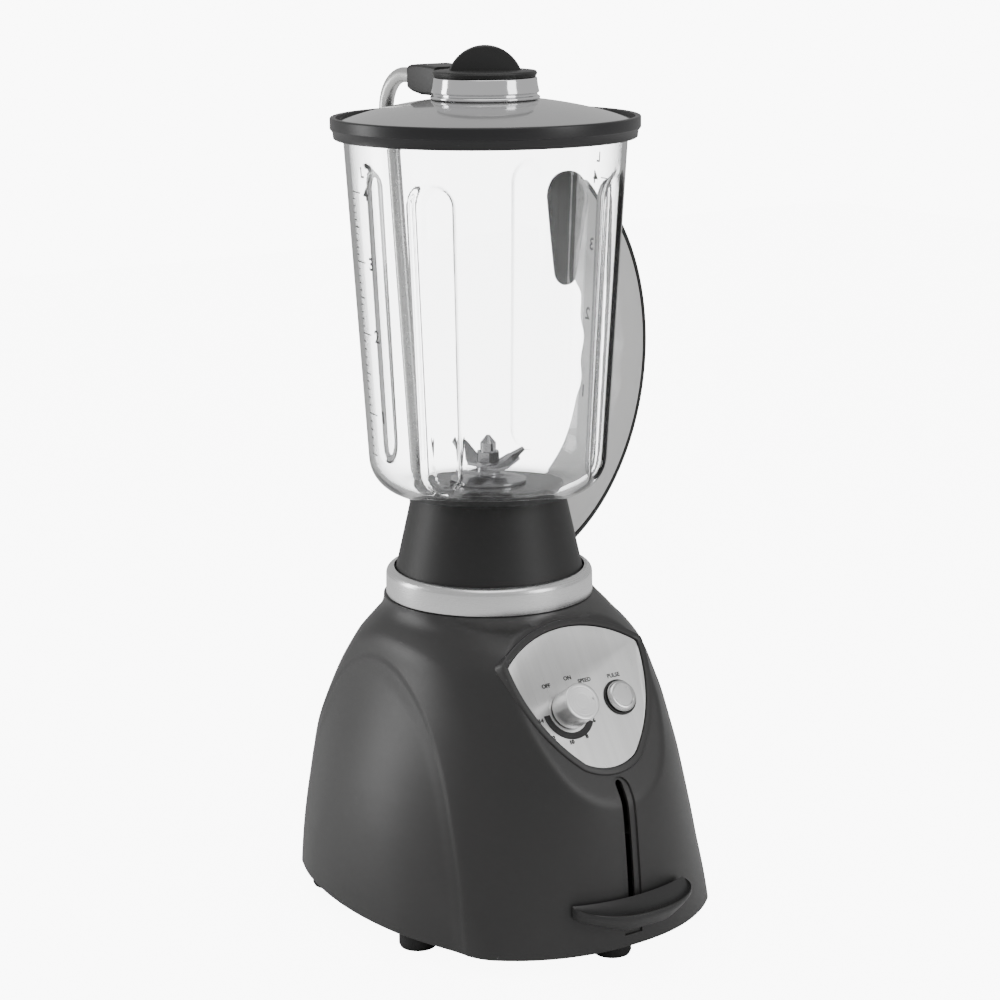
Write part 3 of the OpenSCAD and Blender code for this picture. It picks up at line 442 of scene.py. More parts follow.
# the raised lip moulded round the control plate
lip_bm = bmesh.new()
lip_rings = [(0.45, -2.5), (0.45, 0.9), (0.8, 1.25), (3.6, 1.35), (4.6, 0.9), (5.2, -0.4), (6.4, -6)]
verts = [lip_bm.verts.new((x, y, lip_rings[0][1])) for x, y in shield_outline(lip_rings[0][0])]
first_edges = [lip_bm.edges.new((verts[k], verts[(k + 1) % len(verts)])) for k in range(len(verts))]
edges = first_edges
for grow, z in lip_rings[1:]:
    verts, edges = ring_step(lip_bm, edges)
    for v, (x, y) in zip(verts, shield_outline(grow)):
        v.co = (x, y, z)
bmesh.ops.bridge_loops(lip_bm, edges=first_edges + edges)
lip_bm.transform(on_panel)
finished("plate_lip", lip_bm, housing_grey, "base", crease=40)

# ---- Metal ring under the jug
# A turned aluminium ring with a rounded shoulder, seated on the neck of the housing; the
# foot of the jug drops into it.


def turned(name, profile, material, body, slot, stands_for=(), steps=160, crease=35):
    """A closed outline in mm, spun round the jug's axis."""
    bm = bmesh.new()
    verts = [bm.verts.new((r, 0, z)) for r, z in profile]
    for k in range(len(verts)):
        bm.edges.new((verts[k], verts[(k + 1) % len(verts)]))
    bmesh.ops.spin(bm, geom=bm.verts[:] + bm.edges[:], cent=(0, 0, 0), axis=(0, 0, 1), angle=2 * math.pi,
                   steps=steps, use_merge=True)
    bmesh.ops.remove_doubles(bm, verts=bm.verts, dist=0.0005)
    return finished(name, bm, material, body, stands_for, crease)


def corner(cx, cz, r, a0, a1, n):
    return [(cx + r * math.cos(math.radians(a0 + (a1 - a0) * k / n)),
             cz + r * math.sin(math.radians(a0 + (a1 - a0) * k / n))) for k in range(n + 1)]


ring_metal = grained(plain_shader("turned_aluminium", (0.8, 0.8, 0.8), 0.27, 1.0), 60, 0.00002, stretch=(1, 1, 60))
ring_profile = [(26, 210.1), (67.4, 210.1)] + corner(67.6, 211.0, 0.8, -80, 0, 4)
ring_profile += corner(63.2, 223.5, 5.0, 0, 90, 12) + [(62.9, 228.4), (62.6, 222), (48, 222), (48, 215), (26, 215)]
turned("jug_ring", ring_profile, ring_metal, "base", "satin_ring", ["collar_ring"], 200)

# ---- Jug collar
# The black moulded foot of the jug, a plain cone that hides the bearings and the coupling.
collar_black = grained(plain_shader("collar_black", (0.012, 0.012, 0.012), 0.5), 1500, 0.00003)
collar_profile = [(58, 222.4), (61.2, 222.4), (61.9, 223), (61.95, 226.8), (61.5, 228)]
collar_profile += [(50.4, 277.2), (50.0, 278.3), (48.2, 278.7), (26, 278.7), (26, 274), (46, 274), (57.8, 227)]
turned("jug_foot", collar_profile, collar_black, "base", "black_plastic", ["jug_collar"], 160)

# ---- Jug
# The clear moulded jug. Its wall is one even thickness that leans out to the mouth, with four
# long flutes pressed inwards so that the food is thrown back at the blades.
clear_jug = plain_shader("clear_jug", (0.985, 0.99, 0.99), 0.015)
clear_jug.node_tree.nodes["Principled BSDF"].inputs["Transmission Weight"].default_value = 1.0
clear_jug.node_tree.nodes["Principled BSDF"].inputs["IOR"].default_value = 1.47
clear_jug.node_tree.nodes["Principled BSDF"].inputs["Specular IOR Level"].default_value = 0.15
jug_nodes, jug_links = clear_jug.node_tree.nodes, clear_jug.node_tree.links
# painted shade: the jug's colour goes from near white to dark grey where its wall is seen edge-on, standing in for
# the dark rims that refraction gives clear plastic
edge_on = jug_nodes.new("ShaderNodeLayerWeight")
edge_on.inputs["Blend"].default_value = 0.5
edge_share = jug_nodes.new("ShaderNodeMapRange")
edge_share.inputs["From Min"].default_value = 0.45
edge_share.inputs["From Max"].default_value = 1.0
edge_painted_shade = jug_nodes.new("ShaderNodeMix")
edge_painted_shade.data_type = "RGBA"
edge_painted_shade.inputs[6].default_value = (0.985, 0.988, 0.99, 1)
edge_painted_shade.inputs[7].default_value = (0.1, 0.105, 0.11, 1)
jug_links.new(edge_on.outputs["Facing"], edge_share.inputs["Value"])
jug_links.new(edge_share.outputs["Result"], edge_painted_shade.inputs[0])
jug_links.new(edge_painted_shade.outputs[2], jug_nodes["Principled BSDF"].inputs["Base Color"])
mouth_r, foot_r = 91.0, 78.0
mouth_z, shoulder_z = 514.0, 302.0
jug_taper = (mouth_r - foot_r) / (mouth_z - shoulder_z)
flute_angles = (33.5, 123.5, 213.5, 303.5)


def wall_radius(z):
    return foot_r + (z - shoulder_z) * jug_taper


def smooth_step(t):
    t = min(max(t, 0), 1)
    return t * t * (3 - 2 * t)


def flute_depth(angle, z):
    """How far the wall is pressed in at one place."""
    r = wall_radius(z)
    up = min(max((z - 300) / 175, 0), 1)
    half = 14.5 + 2.0 * up
    top = 489
    low = 290
    deep = 0
    for a in flute_angles:
        off = abs((math.degrees(angle) - a + 180) % 360 - 180)
        x = math.radians(off) * r
        if z > top - half:
            lift = z - (top - half)
            x = math.hypot(x, lift)
        elif z < low + half:
            x = math.hypot(x, low + half - z)
        if x < half:
            t = 1 - x / half
            deep = max(deep, (5.5 + 2.2 * up) * smooth_step(min(t / 0.4, 1)))
    return deep


def jug_skin(bm, ring_edges, rows, inset):
    edges = ring_edges
    for r, z, pressed in rows:
        verts, edges = ring_step(bm, edges)
        for v in verts:
            a = around(v)
            radius = r - inset - (flute_depth(a, z) if pressed else 0)
            v.co = (radius * math.cos(a), radius * math.sin(a), z)
    return edges


jug_bm = bmesh.new()
jug_steps = 360
wall_t = 3.2
bmesh.ops.create_circle(jug_bm, segments=jug_steps, radius=12)
for v in jug_bm.verts:
    # more of the facets are spent on the flutes than on the plain wall between them
    spread = around(v) - 0.135 * math.sin(4 * (around(v) - math.radians(flute_angles[0])))
    v.co = (12 * math.cos(spread), 12 * math.sin(spread), 279)
mouth_edges = list(jug_bm.edges)
outer_rows = [(30, 279, False), (52, 279, False)]
outer_rows += [(54 + 24 * math.sin(math.radians(a)), 303 - 24 * math.cos(math.radians(a)), True)
               for a in range(6, 88, 6)]
outer_rows += [(wall_radius(z), z, True) for z in [303 + 2.2 * k for k in range(86)]]
outer_rows += [(wall_radius(z), z, False) for z in (494, 500, 507, 513)]
edges = jug_skin(jug_bm, mouth_edges, outer_rows, 0)
edges = jug_skin(jug_bm, edges, [(mouth_r - 0.5, 514, False), (mouth_r - wall_t + 0.4, 514, False)], 0)
inner_rows = [(wall_radius(z), z, False) for z in (513, 507, 500, 494)]
inner_rows += [(wall_radius(z), z, True) for z in [490 - 2.2 * k for k in range(85)]]
inner_rows += [(54 + 24 * math.sin(math.radians(a)) * 0.999, 303 - (24 - wall_t) * math.cos(math.radians(a)), True)
               for a in range(84, 5, -6)]
edges = jug_skin(jug_bm, edges, inner_rows, wall_t)
edges = jug_skin(jug_bm, edges, [(48, 282.2, False), (30, 282.2, False), (12, 282.2, False)], 0)
bmesh.ops.bridge_loops(jug_bm, edges=mouth_edges + edges)
finished("jug_glass", jug_bm, clear_jug, "base", ["jug"], crease=60)

# ---- Lid
# A black rubber rim that grips the mouth of the jug, with a grey glossy dome moulded into it.
lid_rubber = grained(plain_shader("lid_rubber", (0.011, 0.011, 0.012), 0.36), 1200, 0.00003)
lid_profile = [(91.3, 508.5), (96.2, 508.5), (96.9, 509.0), (97.4, 513.0), (98.2, 514.0)]
lid_profile += corner(98.0, 515.4, 1.0, -70, 0, 4) + corner(97.9, 521.2, 1.1, 0, 90, 6)
lid_profile += [(96.0, 522.3), (95.2, 521.8), (95, 520.6), (95, 518.3), (80, 518.3), (80, 509), (83, 508),
                (86.8, 511), (86.8, 514.3), (91.3, 514.3)]
turned("lid_rim_rubber", lid_profile, lid_rubber, "base", "black_rubber", ["lid_rim"], 200)

dome_grey = grained(plain_shader("dome_grey", (0.3, 0.3, 0.3), 0.16), 700, 0.00001)
dome_grey.node_tree.nodes["Principled BSDF"].inputs["Coat Weight"].default_value = 1.0
dome_grey.node_tree.nodes["Principled BSDF"].inputs["Coat Roughness"].default_value = 0.08
dome_radius = 300
dome_peak = 532.3 + 34 * 34 / (2 * dome_radius)


def dome_height(r):
    return dome_peak - dome_radius + math.sqrt(dome_radius ** 2 - r * r)


dome_edge, dome_foot, dome_mouth = 94.6, 518.6, 27.7
dome_profile = [(dome_edge, dome_foot), (dome_edge, dome_height(dome_edge) - 0.4), (94.0, dome_height(94.0))]
dome_profile += [(r, dome_height(r)) for r in range(91, 27, -4)] + [(dome_mouth, dome_height(dome_mouth))]
dome_profile += [(dome_mouth, dome_height(dome_mouth) - 3)]
dome_profile += [(r, dome_height(r) - 3.4) for r in range(31, 86, 6)] + [(88, dome_foot)]
turned("lid_dome_shell", dome_profile, dome_grey, "base", "grey_plastic", ["lid_dome"], 200)

# ---- Filler collar and cap
# A polished steel collar stands on the dome; the black cap with its half-round grip plugs it.
chrome = grained(plain_shader("chrome", (0.83, 0.83, 0.84), 0.09, 1.0), 40, 0.00001, stretch=(1, 1, 30))
filler_profile = [(27, 516.6), (27.5, 516.6), (27.5, 533.3), (34.0, 532.7)] + corner(34.0, 533.8, 1.0, -80, 80, 6)
filler_profile += [(33.4, 535.4), (33.2, 536.2), (34.3, 537.0), (34.4, 537.6), (33.6, 541.2), (33.1, 545.4)]
filler_profile += corner(32.2, 545.5, 0.9, 10, 90, 4) + [(27, 546.4)]
turned("filler_ring", filler_profile, chrome, "base", "chrome_metal", ["filler_collar"], 160)

cap_black = grained(plain_shader("cap_black", (0.014, 0.014, 0.014), 0.45), 1500, 0.00003)
cap_bm = bmesh.new()
cap_profile = [(0, 546.75), (20, 546.72), (20, 522.7), (23.3, 522.7), (23.5, 523.2), (23.5, 546.72), (32.2, 546.72)]
cap_profile += [(33.0, 548.0), (33.1, 549.2)] + corner(31.9, 549.4, 1.0, 0, 80, 4) + [(28, 550.8), (0, 551.0)]
cap_verts = [cap_bm.verts.new((r, 0, z)) for r, z in cap_profile]
for a, b in zip(cap_verts, cap_verts[1:]):
    cap_bm.edges.new((a, b))
bmesh.ops.spin(cap_bm, geom=cap_bm.verts[:] + cap_bm.edges[:], cent=(0, 0, 0), axis=(0, 0, 1), angle=2 * math.pi,
               steps=128, use_merge=True)
bmesh.ops.remove_doubles(cap_bm, verts=cap_bm.verts, dist=0.0005)
fin_bm = bmesh.new()
fin_r, fin_c = 24.4, 541.9
fin_outline = [(fin_r * math.cos(a), fin_c + fin_r * math.sin(a)) for a in
               [math.radians(20 + 140 * k / 40) for k in range(41)]]
fin_outline += [(-23, 549.5), (23, 549.5)]
fin_verts = [fin_bm.verts.new((x, -4.6, z)) for x, z in fin_outline]
fin_face = fin_bm.faces.new(fin_verts)
fin_grown = bmesh.ops.extrude_face_region(fin_bm, geom=[fin_face])["geom"]
for g in fin_grown:
    if isinstance(g, bmesh.types.BMVert):
        g.co.y = 4.6
fin_edges = [e for e in fin_bm.edges if abs(e.verts[0].co.y - e.verts[1].co.y) < 0.1]
bmesh.ops.bevel(fin_bm, geom=fin_edges, offset=1.3, segments=3, affect="EDGES", profile=0.5, material=-1)
bmesh.ops.rotate(fin_bm, verts=fin_bm.verts, cent=(0, 0, 0), matrix=Matrix.Rotation(math.radians(-32), 3, "Z"))
fin_mesh = bpy.data.meshes.new("fin")
fin_bm.to_mesh(fin_mesh)
fin_bm.free()
cap_bm.from_mesh(fin_mesh)
finished("filler_cap_grip", cap_bm, cap_black, "cap", ["filler_cap"], crease=30)

# ---- Clamp arm and head
# A bent steel tube rises through the back of the base, over the jug, and carries the black
# block that holds the lid down.
tube_steel = grained(plain_shader("tube_steel", (0.72, 0.72, 0.71), 0.28, 0.9), 300, 0.00001)
lean = math.radians(6.5)
rod_radius = 5.0
bend_radius = 24.0
arm_height = 543.5
rod_foot = 24


def rod_y(z):
    return 86 + (z - 249) * math.tan(lean)


bend_centre_z = arm_height - bend_radius
bend_start = bend_centre_z - bend_radius * math.sin(lean)
bend_centre_y = rod_y(bend_start) - bend_radius * math.cos(lean)
path = [(rod_y(rod_foot), rod_foot, lean), (rod_y(150), 150, lean), (rod_y(300), 300, lean), (rod_y(430), 430, lean)]
for k in range(13):
    a = -lean + (math.pi / 2 + lean) * k / 12
    path.append((bend_centre_y + bend_radius * math.cos(a), bend_centre_z + bend_radius * math.sin(a), -a))
path.append((bend_centre_y - 41.8, arm_height, -math.pi / 2))
tube_bm = bmesh.new()
bmesh.ops.create_circle(tube_bm, segments=40, radius=rod_radius)
edges = list(tube_bm.edges)
start_ring = list(tube_bm.verts)


def ring_on_path(y, z, tilt):
    # the ring's own plane is square to the way the tube runs
    return Matrix.Translation((0, y, z)) @ Matrix.Rotation(-tilt, 4, "X")


rings = [start_ring]
for _ in path[1:]:
    verts, edges = ring_step(tube_bm, edges)
    rings.append(verts)
for ring, (y, z, tilt) in zip(rings, path):
    place = ring_on_path(y, z, tilt)
    for v in ring:
        v.co = place @ v.co.copy()
bmesh.ops.holes_fill(tube_bm, edges=tube_bm.edges, sides=0)
finished("arm_tube", tube_bm, tube_steel, "arm", ["clamp_arm"], crease=40)

head_black = grained(plain_shader("head_black", (0.015, 0.015, 0.015), 0.42), 1400, 0.00003)
head_axis_y = rod_y(arm_height)
head_reach = head_axis_y - 35.6
head_half = 13.5
head_tip = head_axis_y - head_reach
head_side = [(head_tip + y, arm_height + z) for y, z in (
    (0, -10.7), (20, -10.7), (30, -9.1), (35, -7.2), (36, -5.6),
    (36, 5.6), (34.6, 7.3), (32, 8.2), (24, 8.9), (0, 7.9))]
head_bm = bmesh.new()
head_verts = [head_bm.verts.new((-head_half, y, z)) for y, z in head_side]
head_face = head_bm.faces.new(head_verts)
for k in range(8):
    grown = bmesh.ops.extrude_face_region(head_bm, geom=[head_face])["geom"]
    head_face = [g for g in grown if isinstance(g, bmesh.types.BMFace)][0]
    for g in grown:
        if isinstance(g, bmesh.types.BMVert):
            g.co.x = -head_half + 2 * head_half * (k + 1) / 8
inside_faces = [f for f in head_bm.faces
                if abs(f.normal.x) > 0.9 and abs(abs(f.calc_center_median().x) - head_half) > 0.1]
bmesh.ops.delete(head_bm, geom=inside_faces, context="FACES_ONLY")
for v in head_bm.verts:
    if abs(v.co.y - head_tip) < 0.01:
        v.co.y = head_axis_y - math.sqrt(head_reach ** 2 - v.co.x ** 2) + 0.2
rim_edges = [e for e in head_bm.edges if abs(abs(e.verts[0].co.x) - head_half) < 0.01
             and abs(abs(e.verts[1].co.x) - head_half) < 0.01]
bmesh.ops.bevel(head_bm, geom=rim_edges, offset=2.2, segments=4, affect="EDGES", profile=0.5, material=-1)
finished("lid_press", head_bm, head_black, "arm", ["arm_head"], crease=30)

# ---- Jug handle
# A light grey moulded bow with finger hollows on its inner side and a black strip let into
# its back; a black pad joins it to the jug.
handle_grey = grained(plain_shader("handle_grey", (0.62, 0.62, 0.615), 0.33), 900, 0.00002)
strip_black = grained(plain_shader("strip_black", (0.01, 0.01, 0.01), 0.4), 1300, 0.00002)
handle_turn = 16
loop_centre, loop_height = 20, 358
loop_outer, loop_inner = 138.5, 103.5
handle_half = 14
handle_frame = Matrix.Rotation(math.radians(handle_turn), 4, "Z") @ Matrix.Translation((loop_centre, 0, loop_height))


def bow(r_in, r_out, half, a0, a1, steps, round_in, round_out, scallops=()):
    """A bar of rounded box section bent to an arc; finger hollows are pressed into its inner side."""
    section = []
    for cx, cy, rr, s in ((r_out - round_out, half - round_out, round_out, 0),
                          (r_in + round_in, half - round_in, round_in, 90),
                          (r_in + round_in, -half + round_in, round_in, 180),
                          (r_out - round_out, -half + round_out, round_out, 270)):
        section += corner(cx, cy, rr, s, s + 90, 5)
    bm = bmesh.new()
    verts = [bm.verts.new((r, w, 0)) for r, w in section]
    ring = [bm.edges.new((verts[k], verts[(k + 1) % len(verts)])) for k in range(len(verts))]
    rings = [verts]
    for k in range(steps):
        grown, ring = ring_step(bm, ring)
        rings.append(grown)
    for k, verts in enumerate(rings):
        a = a0 + (a1 - a0) * k / steps
        for v in verts:
            r, w = v.co.x, v.co.y
            press = 0
            for s in scallops:
                d = math.radians(abs(a - s)) * r_in
                press = max(press, 5 * smooth_step(1 - d / 13.5))
            share = min(max(1 - (r - r_in) / 12, 0), 1)
            r += press * share
            v.co = (r * math.cos(math.radians(a)), w, r * math.sin(math.radians(a)))
    bmesh.ops.holes_fill(bm, edges=bm.edges, sides=0)
    bm.transform(handle_frame)
    return bm


def jug_clearance():
    """The room that the handle leaves for the jug, its pad and the cone."""
    bm = bmesh.new()
    outline = [(0, 200), (300, 200), (300, 232), (62.3, 232), (50.6, 278), (50.6, 280), (78.3, 280), (78.7, 303),
               (wall_radius(404) + 0.6, 404), (wall_radius(404) + 4.8, 404), (wall_radius(514) + 4.8, 514),
               (96, 600), (0, 600)]
    verts = [bm.verts.new((r, 0, z)) for r, z in outline]
    for a, b in zip(verts, verts[1:]):
        bm.edges.new((a, b))
    bmesh.ops.spin(bm, geom=bm.verts[:] + bm.edges[:], cent=(0, 0, 0), axis=(0, 0, 1), angle=2 * math.pi,
                   steps=180, use_merge=True)
    bmesh.ops.remove_doubles(bm, verts=bm.verts, dist=0.0005)
    return bm


grip = finished("handle_bow", bow(loop_inner, loop_outer - 4.02, handle_half, -75, 59, 90, 6, 2.0, (-14, 2, 18)),
                handle_grey, "base", ["handle_body"], crease=50)
cut_away(grip, jug_clearance())
strip = finished("handle_back", bow(loop_outer - 3.95, loop_outer, handle_half, -75, 57, 80, 0.3, 2.4),
                 strip_black, "base", ["handle_strip"], crease=50)
cut_away(strip, jug_clearance())

pad_bm = bmesh.new()
pad_outline = [(18 * math.cos(math.radians(a)), 462 + 18 * math.sin(math.radians(a))) for a in range(0, 181, 6)]
pad_outline += [(9 * math.cos(math.radians(a)), 413 + 9 * math.sin(math.radians(a))) for a in range(190, 351, 8)]
pad_verts = [pad_bm.verts.new((0, x, z)) for x, z in pad_outline]
pad_face = pad_bm.faces.new(pad_verts)
pad_grown = bmesh.ops.extrude_face_region(pad_bm, geom=[pad_face])["geom"]
front_verts = [g for g in pad_grown if isinstance(g, bmesh.types.BMVert)]
for v in pad_verts:
    v.co.x = math.sqrt((wall_radius(v.co.z) + 0.3) ** 2 - v.co.y ** 2)
for v in front_verts:
    v.co.x = math.sqrt((wall_radius(v.co.z) + 4.2) ** 2 - v.co.y ** 2)
rim = [e for e in pad_bm.edges if e.verts[0] in front_verts and e.verts[1] in front_verts]
bmesh.ops.bevel(pad_bm, geom=rim, offset=1.2, segments=3, affect="EDGES", profile=0.5, material=-1)
bmesh.ops.rotate(
    pad_bm, verts=pad_bm.verts, cent=(0, 0, 0), matrix=Matrix.Rotation(math.radians(handle_turn), 3, "Z"))
bmesh.ops.triangulate(pad_bm, faces=pad_bm.faces)
finished("handle_joint", pad_bm, strip_black, "base", ["handle_pad"], crease=30)

# ---- Control plate
# A brushed steel plate in a pocket of the sloping face, with the dial's marks printed on it.
plate_steel = grained(plain_shader("brushed_plate", (0.74, 0.74, 0.735), 0.3, 1.0), 40, 0.00002,
                      stretch=(60, 1, 1), turned=(math.radians(-(90 - panel_tilt)), 0, 0), speck=0.12)
plate_bm = bmesh.new()
plate_top = plate_solid(plate_bm, shield_outline(0), -1.6, 0, on_panel)
rim = [e for e in plate_bm.edges if e.link_faces[0] in plate_top or e.link_faces[-1] in plate_top]
bmesh.ops.bevel(plate_bm, geom=rim, offset=0.4, segments=2, affect="EDGES", profile=0.5, material=-1)
plate = finished("control_plate", plate_bm, plate_steel, "base", ["panel_plate"], crease=20)
cutter = bmesh.new()
round_bar(cutter, 4.2, -10, 10, knob_at)
round_bar(cutter, 8.4, -10, 10, pulse_at)
cut_away(plate, cutter)

ink = plain_shader("print_black", (0.015, 0.015, 0.015), 0.5)
printed = bmesh.new()


def print_arc(bm, where, r0, r1, a0, a1, z0, z1):
    steps = max(int(abs(a1 - a0) / 4), 4)
    low = [bm.verts.new((r * math.cos(math.radians(a)), r * math.sin(math.radians(a)), z0))
           for r, order in ((r0, range(steps + 1)), (r1, range(steps, -1, -1)))
           for a in [a0 + (a1 - a0) * k / steps for k in order]]
    face = bm.faces.new(low)
    grown = bmesh.ops.extrude_face_region(bm, geom=[face])["geom"]
    top = [g for g in grown if isinstance(g, bmesh.types.BMVert)]
    for v in top:
        v.co.z = z1
    for v in low + top:
        v.co = where @ v.co


print_arc(printed, knob_at, 14.2, 18.6, -180, -33, 0.02, 0.12)
finished("dial_arc", printed, ink, "base", ["dial_scale"], crease=30)


def lettering(name, words, material, body, weight):
    """Printed words and numbers: each is (text, height, place) with the place a matrix in mm."""
    bm = bmesh.new()
    for text, height, where in words:
        curve = bpy.data.curves.new("word", "FONT")
        curve.body = text
        curve.size = height / 0.7
        curve.align_x = "CENTER"
        curve.extrude = 0.04
        curve.offset = weight
        curve.resolution_u = 3
        holder = bpy.data.objects.new("word", curve)
        bpy.context.scene.collection.objects.link(holder)
        bpy.context.view_layer.update()
        mesh = bpy.data.meshes.new_from_object(holder.evaluated_get(bpy.context.evaluated_depsgraph_get()))
        bpy.data.objects.remove(holder)
        for v in mesh.vertices:
            v.co = where(v.co) if callable(where) else where @ v.co
        bm.from_mesh(mesh)
    return finished(name, bm, material, body, crease=30)


def beside(x, y, spin=0):
    return on_panel @ Matrix.Translation((x, y, 0.08)) @ Matrix.Rotation(math.radians(spin), 4, "Z")


plate_words = [(word, 2.6, beside(x, y - 1.3)) for word, x, y in (
    ("OFF", -28, -16), ("ON", -10.6, -13.8), ("SPEED", 1.3, -17.5), ("PULSE", 24.1, -18.3), ("14", -40.5, -37.1),
    ("12", -36.3, -49.3), ("10", -23.7, -54.5), ("8", -11.3, -53), ("6", -2, -44.1))]
lettering("plate_words", plate_words, ink, "base", 0.13)

# ---- Speed knob
# A turned aluminium knob with a fine lathe finish on its face and a small dimple as pointer.
knob_metal = plain_shader("knob_metal", (0.8, 0.8, 0.8), 0.3, 1.0)
knob_centre = (in_place @ knob_at).translation


def lathe_marks(material, centre, tilt, scale, depth):
    nodes, links = material.node_tree.nodes, material.node_tree.links
    place = nodes.new("ShaderNodeTexCoord")
    shift = nodes.new("ShaderNodeMapping")
    shift.inputs["Location"].default_value = [-c for c in centre]
    spin = nodes.new("ShaderNodeMapping")
    spin.inputs["Rotation"].default_value = (-tilt, 0, 0)
    size = nodes.new("ShaderNodeVectorMath")
    size.operation = "LENGTH"
    marks = nodes.new("ShaderNodeTexNoise")
    marks.noise_dimensions = "1D"
    marks.inputs["Scale"].default_value = scale
    marks.inputs["Detail"].default_value = 2
    relief = nodes.new("ShaderNodeBump")
    relief.inputs["Strength"].default_value = 1.0
    relief.inputs["Distance"].default_value = depth
    links.new(place.outputs["Object"], shift.inputs["Vector"])
    links.new(shift.outputs["Vector"], spin.inputs["Vector"])
    links.new(spin.outputs["Vector"], size.inputs[0])
    links.new(size.outputs["Value"], marks.inputs["W"])
    links.new(marks.outputs["Fac"], relief.inputs["Height"])
    links.new(relief.outputs["Normal"], nodes["Principled BSDF"].inputs["Normal"])


panel_angle = math.radians(90 - panel_tilt)
lathe_marks(knob_metal, knob_centre, panel_angle, 2500, 0.00008)


def turned_on_panel(name, profile, where, material, body, stands_for, steps=96, closed=False, crease=35):
    bm = bmesh.new()
    verts = [bm.verts.new((r, 0, z)) for r, z in profile]
    for a, b in zip(verts, verts[1:]):
        bm.edges.new((a, b))
    if closed:
        bm.edges.new((verts[-1], verts[0]))
    bmesh.ops.spin(bm, geom=bm.verts[:] + bm.edges[:], cent=(0, 0, 0), axis=(0, 0, 1), angle=2 * math.pi,
                   steps=steps, use_merge=True)
    bmesh.ops.remove_doubles(bm, verts=bm.verts, dist=0.0005)
    bm.transform(where)
    return finished(name, bm, material, body, stands_for, crease)


knob_profile = [(0, 15.6), (3.06, 15.6), (3.06, 0.75), (11.6, 0.75), (11.8, 1.0), (11.9, 2.2)]
knob_profile += [(12.3, 2.6), (12.5, 3.0)]
knob_profile += [(12.2, 17.9)] + corner(11.5, 18.1, 0.7, 0, 80, 4) + [(10.6, 18.75), (0, 18.8)]
knob = turned_on_panel("dial_knob", knob_profile, knob_at, knob_metal, "knob", ["speed_knob"])
cutter = bmesh.new()
round_bar(cutter, 1.3, 18.1, 22, knob_at @ Matrix.Translation((7.2, 0, 0)), 24)
cut_away(knob, cutter)

# ---- Pulse button
# A steel cap in a black guide, with a raised edge and a shallow dished middle.
button_metal = plain_shader("button_metal", (0.76, 0.76, 0.76), 0.25, 1.0)
lathe_marks(button_metal, (in_place @ pulse_at).translation, panel_angle, 2500, 0.00001)
button_profile = [(0, -8), (6.4, -8), (6.4, 2.0), (10.0, 2.0), (10.3, 2.3), (10.2, 3.0), (9.2, 4.3), (8.4, 4.7),
                  (7.7, 4.75), (7.3, 4.4), (7.0, 4.0), (0, 4.05)]
turned_on_panel("pulse_cap", button_profile, pulse_at, button_metal, "button", ["pulse_button"])
guide_profile = [(6.6, -18), (8.0, -18), (8.0, 0.02), (11.6, 0.02), (11.8, 0.3), (11.7, 0.9), (11.4, 1.05),
                 (10.7, 1.0), (10.6, 0.2), (6.6, 0.2)]
turned_on_panel(
    "pulse_guide", guide_profile, pulse_at, collar_black, "base", ["pulse_bezel"], closed=True)

# ---- Finger lever
# The near-black crescent that is pushed down to clamp the lid; its top is dished for the fingers.
lever_black = grained(plain_shader("lever_black", (0.02, 0.02, 0.02), 0.38), 1300, 0.00003)
lever_half = 44


def lever_section(x):
    """The lever's cut across at one place, from the foot of its inner side round to the lip."""
    inner = -30.6 - math.sqrt(128 ** 2 - x * x)
    lip = 150 + 28 * max(1 - (abs(x) / lever_half) ** 2.5, 0) ** 0.4
    low = 29.4 + 9 * max(abs(x) - 16, 0) / 29
    outer = min(-lip, inner - 1.4)
    deep = inner - outer
    share = min(deep / 19, 1)
    lip_z = 42 + 3.6 * (abs(x) / lever_half) ** 2
    rows = [(inner - 0.05, low), (inner - 0.05, 40), (inner - 0.05, 45.6), (inner - 0.3, 46.3)]
    rows.append((inner - 0.9 * share, 46.6))
    for f, dip in ((0.15, 0.9), (0.3, 1.7), (0.45, 2.3), (0.6, 2.5), (0.75, 2.1), (0.86, 1.2), (0.93, 0.4)):
        rows.append((inner - f * deep, 46.6 + (lip_z - 46.6) * f - dip * share))
    rows += [(outer + 0.7 * share, lip_z), (outer + 0.2 * share, lip_z - 0.3), (outer, lip_z - 1.0)]
    for back, f in ((0.4, 0.85), (1.6, 0.68), (3.4, 0.45), (5.4, 0.22), (7.4, 0.06), (9, 0)):
        rows.append((outer + back * share, low + (lip_z - 1.6 - low) * f))
    return rows


lever_bm = bmesh.new()
lever_steps = 72
lever_verts = [lever_bm.verts.new((-lever_half, y, z)) for y, z in lever_section(-lever_half)]
edges = [lever_bm.edges.new((lever_verts[k], lever_verts[(k + 1) % len(lever_verts)]))
         for k in range(len(lever_verts))]
lever_rings = [lever_verts]
for k in range(lever_steps):
    verts, edges = ring_step(lever_bm, edges)
    lever_rings.append(verts)
for k, ring in enumerate(lever_rings):
    x = -lever_half * math.cos(math.pi * k / lever_steps)
    # the grown ring keeps the order of the one before it, so each point knows its place in the section
    for v, (y, z) in zip(ring, lever_section(x)):
        v.co = (x, y, z)
bmesh.ops.holes_fill(lever_bm, edges=lever_bm.edges, sides=0)
finished("finger_lever", lever_bm, lever_black, "clamp", ["clamp_lever"], crease=34)

# ---- Jug scale
# Fine grey marks with their numbers, printed on the outside of the jug.
scale_ink = plain_shader("scale_ink", (0.05, 0.05, 0.05), 0.6)


def on_jug(turn):
    """Turns a flat place (mm to the right, height) into one on the outside of the jug."""
    def place(co):
        r = wall_radius(co.y) + 0.06 + co.z
        a = math.radians(turn) + co.x / r
        return Vector((r * math.cos(a), r * math.sin(a), co.y))
    return place


def printed_at(turn, x, z):
    return lambda co: on_jug(turn)(Vector((co.x + x, co.y + z, co.z)))


